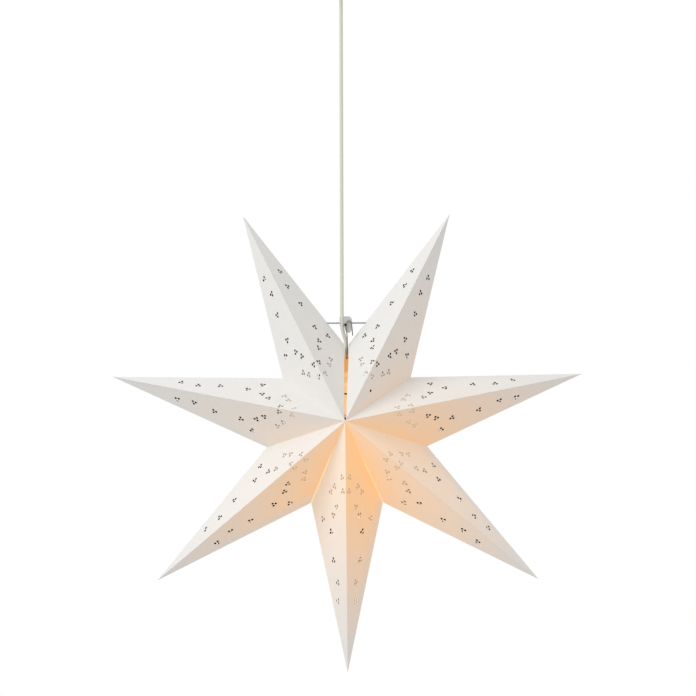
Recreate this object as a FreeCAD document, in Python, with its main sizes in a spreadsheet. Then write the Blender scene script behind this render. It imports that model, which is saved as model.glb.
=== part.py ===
"""A folded paper star pendant: seven perforated paper points, a bulb on a cord, and a ceiling fitting.

Millimetres, +Z up. The origin is on the ceiling plane, on the axis of the cord. The star hangs below it
with its front towards -Y. "Star frame" means the axes through the centre of the star.
"""
import FreeCAD, Part
import math
import os
import re
from FreeCAD import Placement, Rotation, Vector
import Sketcher

SIZES = (
    ("ceiling_to_star", 620, "ceiling plane down to the centre of the star"),
    ("star_aside", 5.5, "star centre to the right of the cord axis"),
    ("star_behind", 4.2, "star centre behind the cord axis"),
    ("star_radius", 300, "centre to tip"),
    ("notch_radius", 102, "centre to the valley between two tips"),
    ("star_half_depth", 85, "mid-plane to the front apex"),
    ("paper_gauge", 0.4, "thickness of the paper"),
    ("seam_gap", 0.04, "glue line between two points"),
    ("slit_width", 6, "open slit between the two top points, at the valley"),
    ("slit_narrow", 2, "the slit at the centre of the star"),
    ("fin_width", 7, "glue fin folded in along each seam"),
    ("fin_start", 20, "valley to the start of the fin, along the seam"),
    ("fin_stop", 14, "end of the fin to the apex, along the seam"),
    ("flap_width", 13, "glue flap inside one outer edge, wide end"),
    ("flap_narrow", 8, "glue flap, narrow end"),
    ("flap_reach", 138, "length of the glue flap along the outer edge"),
    ("hole_ring", 2.4, "radius of the ring of each trefoil of holes"),
    ("hole_bore", 3.1, "diameter of a punched hole"),
    ("eyelet_bore", 3.6, "single hole in the top right point"),
    ("eyelet_across", 16.5, "single hole, from the ridge"),
    ("eyelet_along", 54.5, "single hole, from the apex along the ridge"),
    ("stud_share", 0.39, "closing stud, share of the seam from apex to valley"),
    ("stud_inset", 4, "closing stud, in from the edge of the fin"),
    ("stud_bore", 2.2, "shaft diameter of the closing stud"),
    ("stud_head", 4.8, "head diameter of the closing stud"),
    ("stud_rim", 1, "head thickness of the closing stud"),
    ("bar_height", 132.6, "hanging bar above the centre of the star"),
    ("bar_gauge", 2, "diameter of the hanging bar"),
    ("bar_reach", 33, "middle of the hanging bar to its bent end"),
    ("bar_hook", 6, "height of the bent ends"),
    ("bar_play", 0.3, "clearance round the bar in the paper"),
    ("cord_gauge", 4.6, "diameter of the cord"),
    ("cord_end", 62, "lower end of the sheath above the centre of the star"),
    ("cord_start", 20, "upper end of the sheath below the ceiling"),
    ("cord_play", 0.15, "clearance round the cord where it is held"),
    ("core_gauge", 1.9, "diameter of an insulated core"),
    ("core_pitch", 2.2, "between the two cores in the cord"),
    ("clip_front", 5.4, "clip, in front of the bar's axis"),
    ("clip_back", 2.6, "clip, behind the bar's axis"),
    ("clip_play", 0.1, "clearance round the cord and the bar in the clip"),
    ("eye_bore", 2.8, "eye of the clip"),
    ("string_gauge", 1.5, "diameter of the tie string"),
    ("knot_gauge", 4.2, "diameter of the knot at the eye"),
    ("holder_top", 70, "top of the lamp holder above the centre of the star"),
    ("cap_neck", 5, "radius of the neck of the holder's cap"),
    ("cap_radius", 13.5, "radius of the holder's cap"),
    ("cap_wall", 1.6, "wall of the cap"),
    ("cap_length", 19, "cap down to the joint with the skirt"),
    ("spigot_length", 6, "cap spigot inside the skirt"),
    ("skirt_radius", 14, "radius of the holder's skirt"),
    ("skirt_wall", 1.5, "wall of the skirt"),
    ("skirt_length", 35, "length of the skirt"),
    ("insert_thick", 6.5, "insulating insert"),
    ("ledge_width", 1.9, "ledge under the insert"),
    ("sleeve_wall", 0.6, "wall of the threaded sleeve"),
    ("sleeve_length", 18.5, "length of the threaded sleeve"),
    ("tongue_height", 2.5, "centre contact of the holder"),
    ("tongue_radius", 2.2, "radius of the centre contact"),
    ("cap_play", 0.2, "clearance between the parts of the holder"),
    ("bulb_play", 0.45, "clearance between the screw shell and the sleeve"),
    ("contact_gap", 0.3, "holder contact to bulb contact"),
    ("shell_radius", 6.95, "radius of the bulb's screw shell"),
    ("shell_wall", 0.4, "wall of the screw shell"),
    ("shell_length", 19.4, "length of the screw shell"),
    ("end_cone", 2.3, "height of the bulb's insulator"),
    ("end_button", 1, "height of the bulb's end contact"),
    ("globe_radius", 22, "radius of the bulb's globe"),
    ("globe_drop", 27, "open end of the screw shell down to the centre of the globe"),
    ("glass_wall", 0.7, "wall of the globe"),
    ("filament_gauge", 1.6, "diameter of a filament"),
    ("filament_ring", 7, "radius of the ring of filaments"),
    ("filament_length", 25, "length of a filament"),
    ("wire_gauge", 0.8, "diameter of the support wires"),
    ("canopy_radius", 50, "canopy cup at the ceiling"),
    ("canopy_narrow", 44, "canopy cup at its floor"),
    ("canopy_height", 52, "height of the canopy cup"),
    ("canopy_wall", 2, "wall of the canopy cup"),
    ("canopy_bevel", 4, "bevel round the floor of the cup"),
    ("collar_radius", 7, "radius of the collar"),
    ("collar_length", 13, "collar below its flange"),
    ("flange_radius", 9.5, "radius of the collar's flange"),
    ("flange_thick", 2, "thickness of the collar's flange"),
    ("spigot_radius", 5.4, "collar spigot through the floor of the cup"),
    ("collar_play", 0.3, "clearance round the cord in the collar"),
    ("lock_gauge", 3, "diameter of the collar's lock screw"),
    ("strip_length", 88, "length of the ceiling strip"),
    ("strip_width", 18, "width of the ceiling strip"),
    ("strip_gauge", 2, "thickness of the ceiling strip and its leg"),
    ("slot_spacing", 72, "between the middles of the two slots"),
    ("slot_width", 5, "width of a slot"),
    ("slot_length", 9, "length of a slot, end to end"),
    ("leg_width", 14, "width of the leg"),
    ("leg_length", 40, "ceiling plane to the end of the leg"),
    ("clamp_half", 7, "cord axis to the leg"),
    ("clamp_width", 16, "width of the cord clamp"),
    ("clamp_height", 13, "height of the cord clamp"),
    ("clamp_below", 25, "ceiling plane to the top of the clamp"),
    ("screw_gauge", 3, "diameter of the clamp and block screws"),
    ("screw_head", 5.6, "head diameter of the clamp and block screws"),
    ("screw_cap", 1.8, "head height of the clamp and block screws"),
    ("screw_aside", 5, "clamp screw beside the cord"),
    ("block_from", 10, "cord axis to the terminal block"),
    ("block_length", 20, "length of the terminal block"),
    ("block_width", 17, "width of the terminal block"),
    ("block_height", 13, "height of the terminal block"),
    ("way_pitch", 8.4, "between the two ways of the block"),
    ("way_bore", 3, "bore of a way"),
    ("way_below", 8, "strip to the axis of the ways"),
    ("well_bore", 4, "bore of a terminal screw's well"),
    ("terminal_gauge", 3.6, "diameter of a terminal screw"),
)

FOLDS = (
    ("half_wedge", "180deg / 7"),
    ("valley_side", "notch_radius * sin(half_wedge)"),
    ("valley_up", "notch_radius * cos(half_wedge)"),
    ("ridge_length", "sqrt(star_radius ^ 2 + star_half_depth ^ 2)"),
    ("ridge_lean", "atan(star_half_depth / star_radius)"),
    ("fold_back", "star_half_depth * (star_radius - valley_up) / ridge_length"),
    ("fold_angle", "atan(fold_back / valley_side)"),
    ("face_width", "sqrt(valley_side ^ 2 + fold_back ^ 2)"),
    ("face_rise", "(star_half_depth ^ 2 + valley_up * star_radius) / ridge_length"),
    ("edge_length", "sqrt(face_width ^ 2 + (ridge_length - face_rise) ^ 2)"),
    ("edge_across", "face_width / edge_length"),
    ("edge_along", "(ridge_length - face_rise) / edge_length"),
    ("seam_length", "sqrt(notch_radius ^ 2 + star_half_depth ^ 2)"),
    ("seam_back", "star_half_depth / seam_length"),
    ("seam_down", "notch_radius / seam_length"),
    ("seam_rise", "star_half_depth * (star_radius * cos(half_wedge) - notch_radius)"),
    ("seam_slope", "seam_rise / (star_radius * seam_length * sin(half_wedge))"),
    ("slit_slope", "(slit_width - slit_narrow) / (2 * notch_radius)"),
    ("slit_lean", "atan(slit_slope)"),
    ("cap_joint", "holder_top - cap_length"),
    ("insert_top", "cap_joint - spigot_length"),
    ("insert_under", "insert_top - insert_thick"),
    ("contact_top", "insert_under - tongue_height - contact_gap"),
    ("shell_top", "contact_top - end_button - end_cone"),
    ("shell_open", "shell_top - shell_length"),
    ("globe_middle", "shell_open - globe_drop"),
    ("clamp_under", "clamp_below + clamp_height"),
)

# Trefoils of holes on every face: share of the face's width, then share of the ridge from the apex.
TREFOILS = (
    (0.564, 0.722),
    (0.451, 0.648),
    (0.541, 0.564),
    (0.500, 0.451),
    (0.716, 0.410),
    (0.372, 0.382),
    (0.273, 0.346),
    (0.523, 0.293),
    (0.430, 0.266),
    (0.108, 0.277),
    (0.165, 0.223),
)
TREFOIL_TURN = 137.5

doc = FreeCAD.newDocument("StarPendant")
owner = {}


def named(formula):
    """A formula with each size's name written the way the document refers to it."""
    return re.sub(r"[a-z][a-z_]+", lambda word: owner.get(word.group(), "") + word.group(), str(formula))


sheet = doc.addObject("Spreadsheet::Sheet", "Sizes")
for row, (alias, number, note) in enumerate(SIZES, 1):
    sheet.set(f"A{row}", alias)
    sheet.set(f"B{row}", str(number))
    sheet.setAlias(f"B{row}", alias)
    sheet.set(f"C{row}", note)
    owner[alias] = "Sizes."
doc.recompute()

folds = doc.addObject("Spreadsheet::Sheet", "Folds")
for row, (alias, formula) in enumerate(FOLDS, 1):
    folds.set(f"A{row}", alias)
    folds.set(f"B{row}", "=" + named(formula))
    folds.setAlias(f"B{row}", alias)
    doc.recompute()
    owner[alias] = "Folds."


def value(formula):
    """The number that a formula of size names gives."""
    result = sheet.evalExpression(named(formula))
    return float(getattr(result, "Value", result))


def tie(thing, **formulas):
    """Bind properties to formulas; a double underscore in a name stands for a dot."""
    for name, formula in formulas.items():
        thing.setExpression(name.replace("__", "."), named(formula))
    return thing


def place(thing, at, turn=None, angle=None):
    """Move an object to three formulas, turned about an axis by a formula in degrees."""
    if turn:
        thing.Placement = Placement(Vector(), Rotation(turn, 30))
        tie(thing, Placement__Rotation__Angle=angle)
    return tie(thing, Placement__Base__x=at[0], Placement__Base__y=at[1], Placement__Base__z=at[2])


def in_star(thing):
    """Move an object that is drawn in the star frame to where the star hangs."""
    return place(thing, ("star_aside", "star_behind", "-ceiling_to_star"))


# ---------------------------------------------------------------- sketches and features


def new_body(name):
    body = doc.addObject("PartDesign::Body", name)
    body.Label = name
    return body


def origin_plane(body, role):
    return next(feature for feature in body.Origin.OriginFeatures if feature.Role == role)


def tilted_plane(body, name, role, axis, angle, height="0"):
    """A datum plane turned about an axis of an origin plane by a formula, and lifted off it."""
    plane = body.newObject("PartDesign::Plane", name)
    plane.AttachmentSupport = [(origin_plane(body, role), "")]
    plane.MapMode = "FlatFace"
    plane.AttachmentOffset = Placement(Vector(), Rotation(axis, 30))
    tie(plane, AttachmentOffset__Rotation__Angle=angle, AttachmentOffset__Base__z=height)
    return plane


def new_sketch(body, name, support, axis=None, angle="0", height="0"):
    """A sketch on an origin plane, given by its role, or on a datum plane of the same body."""
    sketch = body.newObject("Sketcher::SketchObject", name)
    if isinstance(support, str):
        support = origin_plane(body, support)
    sketch.AttachmentSupport = [(support, "")]
    sketch.MapMode = "FlatFace"
    if axis:
        sketch.AttachmentOffset = Placement(Vector(), Rotation(axis, 30))
        tie(sketch, AttachmentOffset__Rotation__Angle=angle)
    tie(sketch, AttachmentOffset__Base__z=height)
    return sketch


def fix(sketch, geometry, end, x, y):
    """Dimension a point of a sketch from its origin."""
    for kind, formula, axis in (("DistanceX", x, -2), ("DistanceY", y, -1)):
        if formula == "0":
            sketch.addConstraint(Sketcher.Constraint("PointOnObject", geometry, end, axis))
        else:
            rule = sketch.addConstraint(Sketcher.Constraint(kind, -1, 1, geometry, end, value(formula)))
            sketch.setExpression(f"Constraints[{rule}]", named(formula))


def polygon(sketch, corners):
    """A closed outline of straight lines through corners given as formulas."""
    first = sketch.GeometryCount
    spots = [Vector(value(x), value(y), 0) for x, y in corners]
    for start, end in zip(spots, spots[1:] + spots[:1]):
        sketch.addGeometry(Part.LineSegment(start, end), False)
    for number, (x, y) in enumerate(corners):
        after = first + (number + 1) % len(corners)
        sketch.addConstraint(Sketcher.Constraint("Coincident", first + number, 2, after, 1))
        fix(sketch, first + number, 1, x, y)
    return sketch


def circle(sketch, x, y, diameter):
    spot = Vector(value(x), value(y), 0)
    round_hole = sketch.addGeometry(Part.Circle(spot, Vector(0, 0, 1), value(diameter) / 2), False)
    fix(sketch, round_hole, 3, x, y)
    rule = sketch.addConstraint(Sketcher.Constraint("Diameter", round_hole, value(diameter)))
    sketch.setExpression(f"Constraints[{rule}]", named(diameter))
    return sketch


def pad(body, name, sketch, length, inward=False, both=False):
    feature = body.newObject("PartDesign::Pad", name)
    feature.Profile = sketch
    feature.Reversed = inward
    feature.Midplane = both
    tie(feature, Length=length)
    doc.recompute()
    return feature


def pocket(body, name, sketch, length=None, forward=False):
    """Cut a sketch through the body both ways, or to a depth, and make sure that it cuts."""
    before = body.Shape.Volume
    feature = body.newObject("PartDesign::Pocket", name)
    feature.Profile = sketch
    if length is None:
        feature.Type = "ThroughAll"
        feature.Midplane = True
    else:
        feature.Reversed = forward
        tie(feature, Length=length)
    doc.recompute()
    if not feature.Shape.Volume < before - 1e-6:
        raise RuntimeError(f"{name} cuts nothing from {body.Label}")
    return feature


def turned(name, outline, at=None):
    """A round piece: an outline of (radius, height) formulas turned about the vertical."""
    body = new_body(name)
    sketch = polygon(new_sketch(body, name + "_outline", "XZ_Plane"), outline)
    feature = body.newObject("PartDesign::Revolution", name + "_turned")
    feature.Profile = sketch
    feature.ReferenceAxis = (sketch, ["V_Axis"])
    feature.Angle = 360
    doc.recompute()
    if at:
        place(body, at)
    else:
        in_star(body)
    return body


# ---------------------------------------------------------------- primitives and booleans


def cylinder(name, radius, height, at=("0", "0", "0"), turn=None, angle=None):
    thing = doc.addObject("Part::Cylinder", name)
    tie(thing, Radius=radius, Height=height)
    return place(thing, at, turn, angle)


def cone(name, low, high, height, at):
    thing = doc.addObject("Part::Cone", name)
    tie(thing, Radius1=low, Radius2=high, Height=height)
    return place(thing, at)


def sphere(name, radius, at):
    thing = doc.addObject("Part::Sphere", name)
    tie(thing, Radius=radius)
    return place(thing, at)


def box(name, length, width, height, at):
    thing = doc.addObject("Part::Box", name)
    tie(thing, Length=length, Width=width, Height=height)
    return place(thing, at)


def joined(name, *things):
    thing = doc.addObject("Part::MultiFuse", name)
    thing.Shapes = list(things)
    thing.Label = name
    return thing


def without(name, base, tool):
    thing = doc.addObject("Part::Cut", name)
    thing.Base = base
    thing.Tool = tool
    thing.Label = name
    return thing


def together(name, *things):
    """Several separate solids of one kind as one group."""
    thing = doc.addObject("Part::Compound", name)
    thing.Links = list(things)
    thing.Label = name
    return thing


def slotted_screw(name, shaft, length, head, cap, at, turn=None, angle=None):
    """A screw along +Z with its tip at its origin and a slotted head on top."""
    parts = [cylinder(name + "_shaft", f"{shaft} / 2", length)]
    parts.append(cylinder(name + "_head", f"{head} / 2", cap, ("0", "0", length)))
    slot = box(name + "_slot", head, f"{head} / 6", cap, (f"-{head} / 2", f"-{head} / 12", f"{length} + {cap} / 2"))
    return place(without(name, joined(name + "_blank", *parts), slot), at, turn, angle)


# ---------------------------------------------------------------- tubes along a route


def bend_radii(route):
    """The radius of the arc at each corner of a route: 0.45 of the shorter run's tangent length."""
    radii = []
    for before, corner, after in zip(route, route[1:], route[2:]):
        come, go = corner - before, after - corner
        half_turn = come.getAngle(go) / 2
        radii.append(0.45 * min(come.Length, go.Length) / math.tan(half_turn))
    return radii


def tube_shape(route, radius):
    """A round tube along straight runs joined by tangent arcs; its volume is checked."""
    edges, start = [], route[0]
    for (before, corner, after), bend in zip(zip(route, route[1:], route[2:]), bend_radii(route)):
        come, go = (corner - before).normalize(), (after - corner).normalize()
        half_turn = come.getAngle(go) / 2
        reach = bend * math.tan(half_turn)
        first, last = corner - come * reach, corner + go * reach
        inward = (go - come).normalize()
        middle = corner + inward * (bend / math.cos(half_turn) - bend)
        edges.append(Part.LineSegment(start, first).toShape())
        edges.append(Part.Arc(first, middle, last).toShape())
        start = last
    edges.append(Part.LineSegment(start, route[-1]).toShape())
    path = Part.Wire(edges)
    ring = Part.Wire(Part.makeCircle(radius, route[0], route[1] - route[0]))
    shape = path.makePipeShell([ring], True, False)
    expected = math.pi * radius ** 2 * path.Length
    if abs(shape.Volume - expected) > 0.01 * expected:
        raise RuntimeError("a tube has the wrong volume")
    return shape


def route_of(spots):
    return [Vector(*(value(part) for part in spot)) for spot in spots]


def tube(name, spots, radius):
    """A piece of cord or core along spots given as formulas."""
    route = route_of(spots)
    thing = doc.addObject("Part::Feature", name)
    thing.Label = name
    thing.Shape = tube_shape(route, value(radius))
    radii = ", ".join(f"{bend:.1f}" for bend in bend_radii(route))
    print(f"{name}: arc radii {radii}; length {sum((b - a).Length for a, b in zip(route, route[1:])):.0f}")
    return thing


# ---------------------------------------------------------------- the paper points

ridge_tilt = Vector(1, 0, 0)
fold_hinge = Vector(0, 1, 0)
front_turn = Vector(0, 0, 1)


def ridge_plane(body):
    """The plane that leans back along the front ridge, with its origin at the front apex."""
    return tilted_plane(body, body.Name + "_ridge", "XZ_Plane", ridge_tilt, "-ridge_lean", "star_half_depth")


def seam_spot(along, inward):
    """A spot on a seam plane: from the valley along the seam, and in from it. Depth first, then radius."""
    depth = f"-seam_back * ({along}) + seam_down * ({inward})"
    radius = f"notch_radius - seam_down * ({along}) - seam_back * ({inward})"
    return depth, radius


def slit_half(radius):
    """Half the width of the slit at a distance from the centre of the star."""
    return f"(slit_narrow / 2 + slit_slope * ({radius}))"


def fin_outline(lips=("0", "0"), mirror=False):
    """The corners of a glue fin on its seam plane, with slanted ends.

    lips are how far the paper stands out beyond the seam's line at the start and the end of the fin, where its
    plane is set into the point.
    """
    spots = [
        seam_spot("fin_start", f"0.1 - {lips[0]}"),
        seam_spot("seam_length - fin_stop", f"0.1 - {lips[1]}"),
        seam_spot("seam_length - fin_stop - fin_width", "fin_width"),
        seam_spot("fin_start + fin_width", "fin_width"),
    ]
    return [(f"-({depth})", radius) for depth, radius in spots] if mirror else spots


def quarter_holes(sketch):
    for number, (across, along) in enumerate(TREFOILS):
        up = f"{along} * ridge_length"
        wide = f"face_width * min({up} / face_rise; (ridge_length - {up}) / (ridge_length - face_rise))"
        for petal in range(3):
            turn = math.radians(TREFOIL_TURN * number + 120 * petal)
            x = f"{across} * {wide} + hole_ring * {math.cos(turn):.4f}"
            y = f"{up} + hole_ring * {math.sin(turn):.4f}"
            circle(sketch, x, y, "hole_bore")


def folded_point():
    """One paper point with its tip up, drawn as a quarter and mirrored twice, with its glue flap."""
    body = new_body("folded_point")
    ridge = ridge_plane(body)
    face = new_sketch(body, "face_outline", ridge, fold_hinge, "fold_angle")
    polygon(
        face,
        [
            ("-1", "-3"),
            ("face_width + 2", "face_rise - 2"),
            ("-1", "ridge_length + 9"),
        ],
    )
    quarter_holes(face)
    pad(body, "face_sheet", face, "paper_gauge", inward=True)

    far = "star_radius * 1.4"
    notch = "seam_gap / 2 / sin(half_wedge)"
    wedge = new_sketch(body, "wedge_outline", "XZ_Plane")
    corners = [("0", notch), ("0", far), (f"-{far}", far), (f"-{far}", f"-{far}"), (far, f"-{far}")]
    corners.append((far, f"{notch} + {far} / tan(half_wedge)"))
    pocket(body, "wedge_cut", polygon(wedge, corners))
    middle = new_sketch(body, "middle_outline", "YZ_Plane")
    pocket(body, "middle_cut", polygon(middle, [("0", f"-{far}"), (far, f"-{far}"), (far, far), ("0", far)]))

    seam = tilted_plane(body, "seam_plane", "YZ_Plane", ridge_tilt, "half_wedge")
    fin = new_sketch(body, "fin_outline", seam, height="-seam_gap / 2")
    pad(body, "seam_fin", polygon(fin, fin_outline()), "paper_gauge", inward=True)

    for name, role in (("left_half", "YZ_Plane"), ("back_half", "XZ_Plane")):
        mirror = body.newObject("PartDesign::Mirrored", name)
        mirror.MirrorPlane = (origin_plane(body, role), [""])
        mirror.TransformMode = "Whole shape"
        body.Tip = mirror
        doc.recompute()

    flap = new_sketch(body, "flap_outline", ridge, fold_hinge, "-fold_angle")
    polygon(
        flap,
        [
            (f"-face_width + edge_across * ({along}) + edge_along * ({inward})",
             f"face_rise + edge_along * ({along}) - edge_across * ({inward})")
            for along, inward in (
                ("5", "0.6"),
                ("flap_reach", "0.6"),
                ("flap_reach - 7", "flap_narrow"),
                ("14", "flap_width"),
            )
        ],
    )
    pad(body, "glue_flap", flap, "2 * paper_gauge", inward=True)
    return body


def copy_of(name, master, number):
    """A point of the star as a copy of the folded one, turned to its place."""
    body = new_body(name)
    base = doc.addObject("PartDesign::FeatureBase", name + "_base")
    base.BaseFeature = master
    body.Group = [base]
    body.Tip = base
    place(body, ("star_aside", "star_behind", "-ceiling_to_star"), fold_hinge, f"half_wedge * {2 * number + 1}")
    doc.recompute()
    return body


def open_slit(body, side):
    """Trim a top point back from the slit, and give it a fin there and a hole for the hanging bar.

    side is -1 where the slit is on the point's left, and 1 where it is on its right.
    """
    name = body.Name
    cutter = new_sketch(body, name + "_slit", "XZ_Plane", front_turn, f"{-side} * half_wedge")
    outer, low, high = f"{side} * notch_radius / 4", "-notch_radius / 4", "notch_radius * 1.5"
    inner_low, inner_high = (f"{-side} * {slit_half(level)}" for level in (low, high))
    corners = [(inner_low, low), (outer, low), (outer, high), (inner_high, high)]
    pocket(body, name + "_trim", polygon(cutter, corners))

    seam = tilted_plane(body, name + "_slit_plane", "YZ_Plane", ridge_tilt, f"{side} * (half_wedge - slit_lean)")
    fins = new_sketch(body, name + "_fins", seam, height=f"{-side} * slit_narrow / 2 * cos(slit_lean)")
    ends = ("notch_radius - seam_down * fin_start", "seam_down * fin_stop")
    lips = [f"seam_slope * {slit_half(end)}" for end in ends]
    polygon(fins, fin_outline(lips))
    polygon(fins, fin_outline(lips, mirror=True))
    pad(body, name + "_slit_fins", fins, "paper_gauge", inward=side > 0)

    stud = new_sketch(body, name + "_stud", seam)
    for mirror in ("", "-"):
        circle(stud, f"{mirror}({STUD[0]})", STUD[1], "stud_bore + 0.3")
    pocket(body, name + "_stud_holes", stud, "slit_width", forward=side < 0)

    level = tilted_plane(body, name + "_level", "YZ_Plane", ridge_tilt, f"{side} * half_wedge")
    hole = circle(new_sketch(body, name + "_bar_hole", level), "0", "bar_height", "bar_gauge + 2 * bar_play")
    pocket(body, name + "_bar_bore", hole, "bar_reach + 8", forward=side < 0)


STUD = seam_spot("seam_length * (1 - stud_share)", "stud_inset")

master = folded_point()
names = ("top_right", "right", "lower_right", "bottom", "lower_left", "left", "top_left")
points = [copy_of(f"star_point_{name}", master, number) for number, name in enumerate(names)]
open_slit(points[0], -1)
open_slit(points[6], 1)

eyelet = new_sketch(points[0], "eyelet_outline", ridge_plane(points[0]), fold_hinge, "fold_angle")
circle(eyelet, "eyelet_across", "eyelet_along", "eyelet_bore")
pocket(points[0], "eyelet", eyelet, "3 * paper_gauge")

# The studs that close the slit at the front and the back: a shaft and two heads inside the fins.
head_from = f"{slit_half('notch_radius * stud_share')} + paper_gauge + 0.2"
studs = []
for side, mirror in (("front", ""), ("back", "-")):
    spot = (f"{mirror}({STUD[0]})", STUD[1])
    shaft = cylinder(
        f"stud_{side}_shaft", "stud_bore / 2", f"2 * ({head_from})",
        (f"-({head_from})", *spot), fold_hinge, "90",
    )
    heads = [
        cylinder(f"stud_{side}_right", "stud_head / 2", "stud_rim", (head_from, *spot), fold_hinge, "90"),
        cylinder(
            f"stud_{side}_left", "stud_head / 2", "stud_rim",
            (f"-({head_from}) - stud_rim", *spot), fold_hinge, "90",
        ),
    ]
    studs.append(joined(f"stud_{side}", shaft, *heads))
slit_studs = in_star(together("slit_studs", *studs))

# ---------------------------------------------------------------- the hanging bar, its clip and the string

clip = new_body("cord_clip")
front = new_sketch(clip, "clip_front_view", "XZ_Plane", height="clip_front")
left = "-star_aside - cord_gauge / 2 - 0.6"
polygon(
    front,
    [
        (left, "bar_height + 6"),
        (f"{left} + 1.5", "bar_height + 7.5"),
        ("4", "bar_height + 7.5"),
        ("7", "bar_height + 4"),
        ("7", "bar_height - 8.5"),
        ("4", "bar_height - 12"),
        ("0.4", "bar_height - 12"),
        ("-1.6", "bar_height - 9"),
        ("-3", "bar_height - 4"),
        (left, "bar_height - 4"),
    ],
)
circle(front, "-1", "bar_height - 3.6", "eye_bore")
pad(clip, "clip_block", front, "clip_front + clip_back", inward=True)
channel = new_sketch(clip, "cord_channel", "XY_Plane", height="bar_height - 20")
circle(channel, "-star_aside", "-star_behind", "cord_gauge + 2 * clip_play")
pocket(clip, "clip_channel", channel)
bar_way = circle(new_sketch(clip, "bar_way", "YZ_Plane"), "0", "bar_height", "bar_gauge + 2 * clip_play")
pocket(clip, "clip_bar_way", bar_way)
in_star(clip)

hanging_bar = tube(
    "hanging_bar",
    [
        ("star_aside - bar_reach", "star_behind", "bar_height + bar_hook - ceiling_to_star"),
        ("star_aside - bar_reach", "star_behind", "bar_height - ceiling_to_star"),
        ("star_aside + bar_reach", "star_behind", "bar_height - ceiling_to_star"),
        ("star_aside + bar_reach", "star_behind", "bar_height + bar_hook - ceiling_to_star"),
    ],
    "bar_gauge / 2",
)

eye_spot = ("-1", "-clip_front - knot_gauge / 2 - 0.1", "bar_height - 3.6")
back_knot = ("-1", "clip_back + string_gauge + 0.1", "bar_height - 3.6")
strand = [eye_spot, ("-0.4", "-7", "bar_height - 13"), ("0.4", "-3.6", "108"), ("0.4", "-3.4", "88")]
loose = [
    eye_spot,
    ("1.6", "-7.2", "bar_height + 1.2"),
    ("4.6", "-7", "bar_height + 2"),
    ("6.9", "-6.9", "bar_height - 3.1"),
    ("7.9", "-6.8", "bar_height - 17.1"),
]
string_parts = [tube_shape(route_of(spots), value("string_gauge / 2")) for spots in (strand, loose)]
front_end, back_end = route_of([eye_spot, back_knot])
string_parts.append(Part.makeSphere(value("knot_gauge / 2"), front_end))
string_parts.append(Part.makeSphere(value("string_gauge"), back_end))
string_parts.append(
    Part.makeCylinder(value("string_gauge / 2"), (back_end - front_end).Length, front_end, back_end - front_end)
)
string_parts.append(Part.makeSphere(value("string_gauge"), Vector(0.4, -4.1, 88)))
tie_string = doc.addObject("Part::Feature", "tie_string")
tie_string.Label = "tie_string"
tie_string.Shape = string_parts[0].multiFuse(string_parts[1:])
in_star(tie_string)

# ---------------------------------------------------------------- the cord and the lamp holder

cord = tube(
    "supply_cord",
    [
        ("0", "0", "-cord_start"),
        ("0", "0", "123 - ceiling_to_star"),
        ("star_aside", "star_behind", "108 - ceiling_to_star"),
        ("star_aside", "star_behind", "cord_end - ceiling_to_star"),
    ],
    "cord_gauge / 2",
)

cord_hole = "cord_gauge / 2 + cord_play"
spigot = "skirt_radius - skirt_wall - cap_play"
cap = turned(
    "holder_cap",
    [
        (cord_hole, "holder_top"),
        ("cap_neck - 1", "holder_top"),
        ("cap_neck", "holder_top - 1"),
        ("cap_neck", "holder_top - 6"),
        ("cap_radius - 2", "holder_top - 12"),
        ("cap_radius", "holder_top - 14"),
        ("cap_radius", "cap_joint"),
        (spigot, "cap_joint"),
        (spigot, "insert_top"),
        (f"{spigot} - cap_wall", "insert_top"),
        (f"{spigot} - cap_wall", "holder_top - 14.5"),
        ("cap_neck + 0.5", "holder_top - 8.2"),
        (cord_hole, "holder_top - 7"),
    ],
)
skirt = turned(
    "holder_skirt",
    [
        ("skirt_radius", "cap_joint"),
        ("skirt_radius", "cap_joint - skirt_length"),
        ("skirt_radius - skirt_wall", "cap_joint - skirt_length"),
        ("skirt_radius - skirt_wall", "insert_under - cap_wall"),
        ("skirt_radius - skirt_wall - ledge_width", "insert_under - cap_wall"),
        ("skirt_radius - skirt_wall - ledge_width", "insert_under"),
        ("skirt_radius - skirt_wall", "insert_under"),
        ("skirt_radius - skirt_wall", "cap_joint"),
    ],
)
insert = turned(
    "holder_insert",
    [("0", "insert_top"), (spigot, "insert_top"), (spigot, "insert_under"), ("0", "insert_under")],
)
sleeve_bore = "shell_radius + bulb_play"
sleeve = turned(
    "threaded_sleeve",
    [
        (f"{sleeve_bore} + sleeve_wall", "insert_under"),
        (f"{sleeve_bore} + sleeve_wall", "insert_under - sleeve_length"),
        (sleeve_bore, "insert_under - sleeve_length"),
        (sleeve_bore, "insert_under"),
    ],
)
tongue = turned(
    "centre_contact",
    [
        ("0", "insert_under"),
        ("tongue_radius", "insert_under"),
        ("tongue_radius", "insert_under - tongue_height + 0.8"),
        ("tongue_radius / 2", "insert_under - tongue_height"),
        ("0", "insert_under - tongue_height"),
    ],
)
for name, side in (("holder_core_brown", "-"), ("holder_core_blue", "")):
    tube(
        name,
        [
            (f"star_aside + {side}core_pitch / 2", "star_behind", "cord_end - 0.2 - ceiling_to_star"),
            (f"star_aside + {side}(core_pitch / 2 + 0.6)", "star_behind", "cord_end - 4.5 - ceiling_to_star"),
            (f"star_aside + {side}5.5", "star_behind", "insert_top + 5.5 - ceiling_to_star"),
            (f"star_aside + {side}6", "star_behind", "insert_top + 0.15 - ceiling_to_star"),
        ],
        "core_gauge / 2",
    )

# ---------------------------------------------------------------- the bulb

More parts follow.
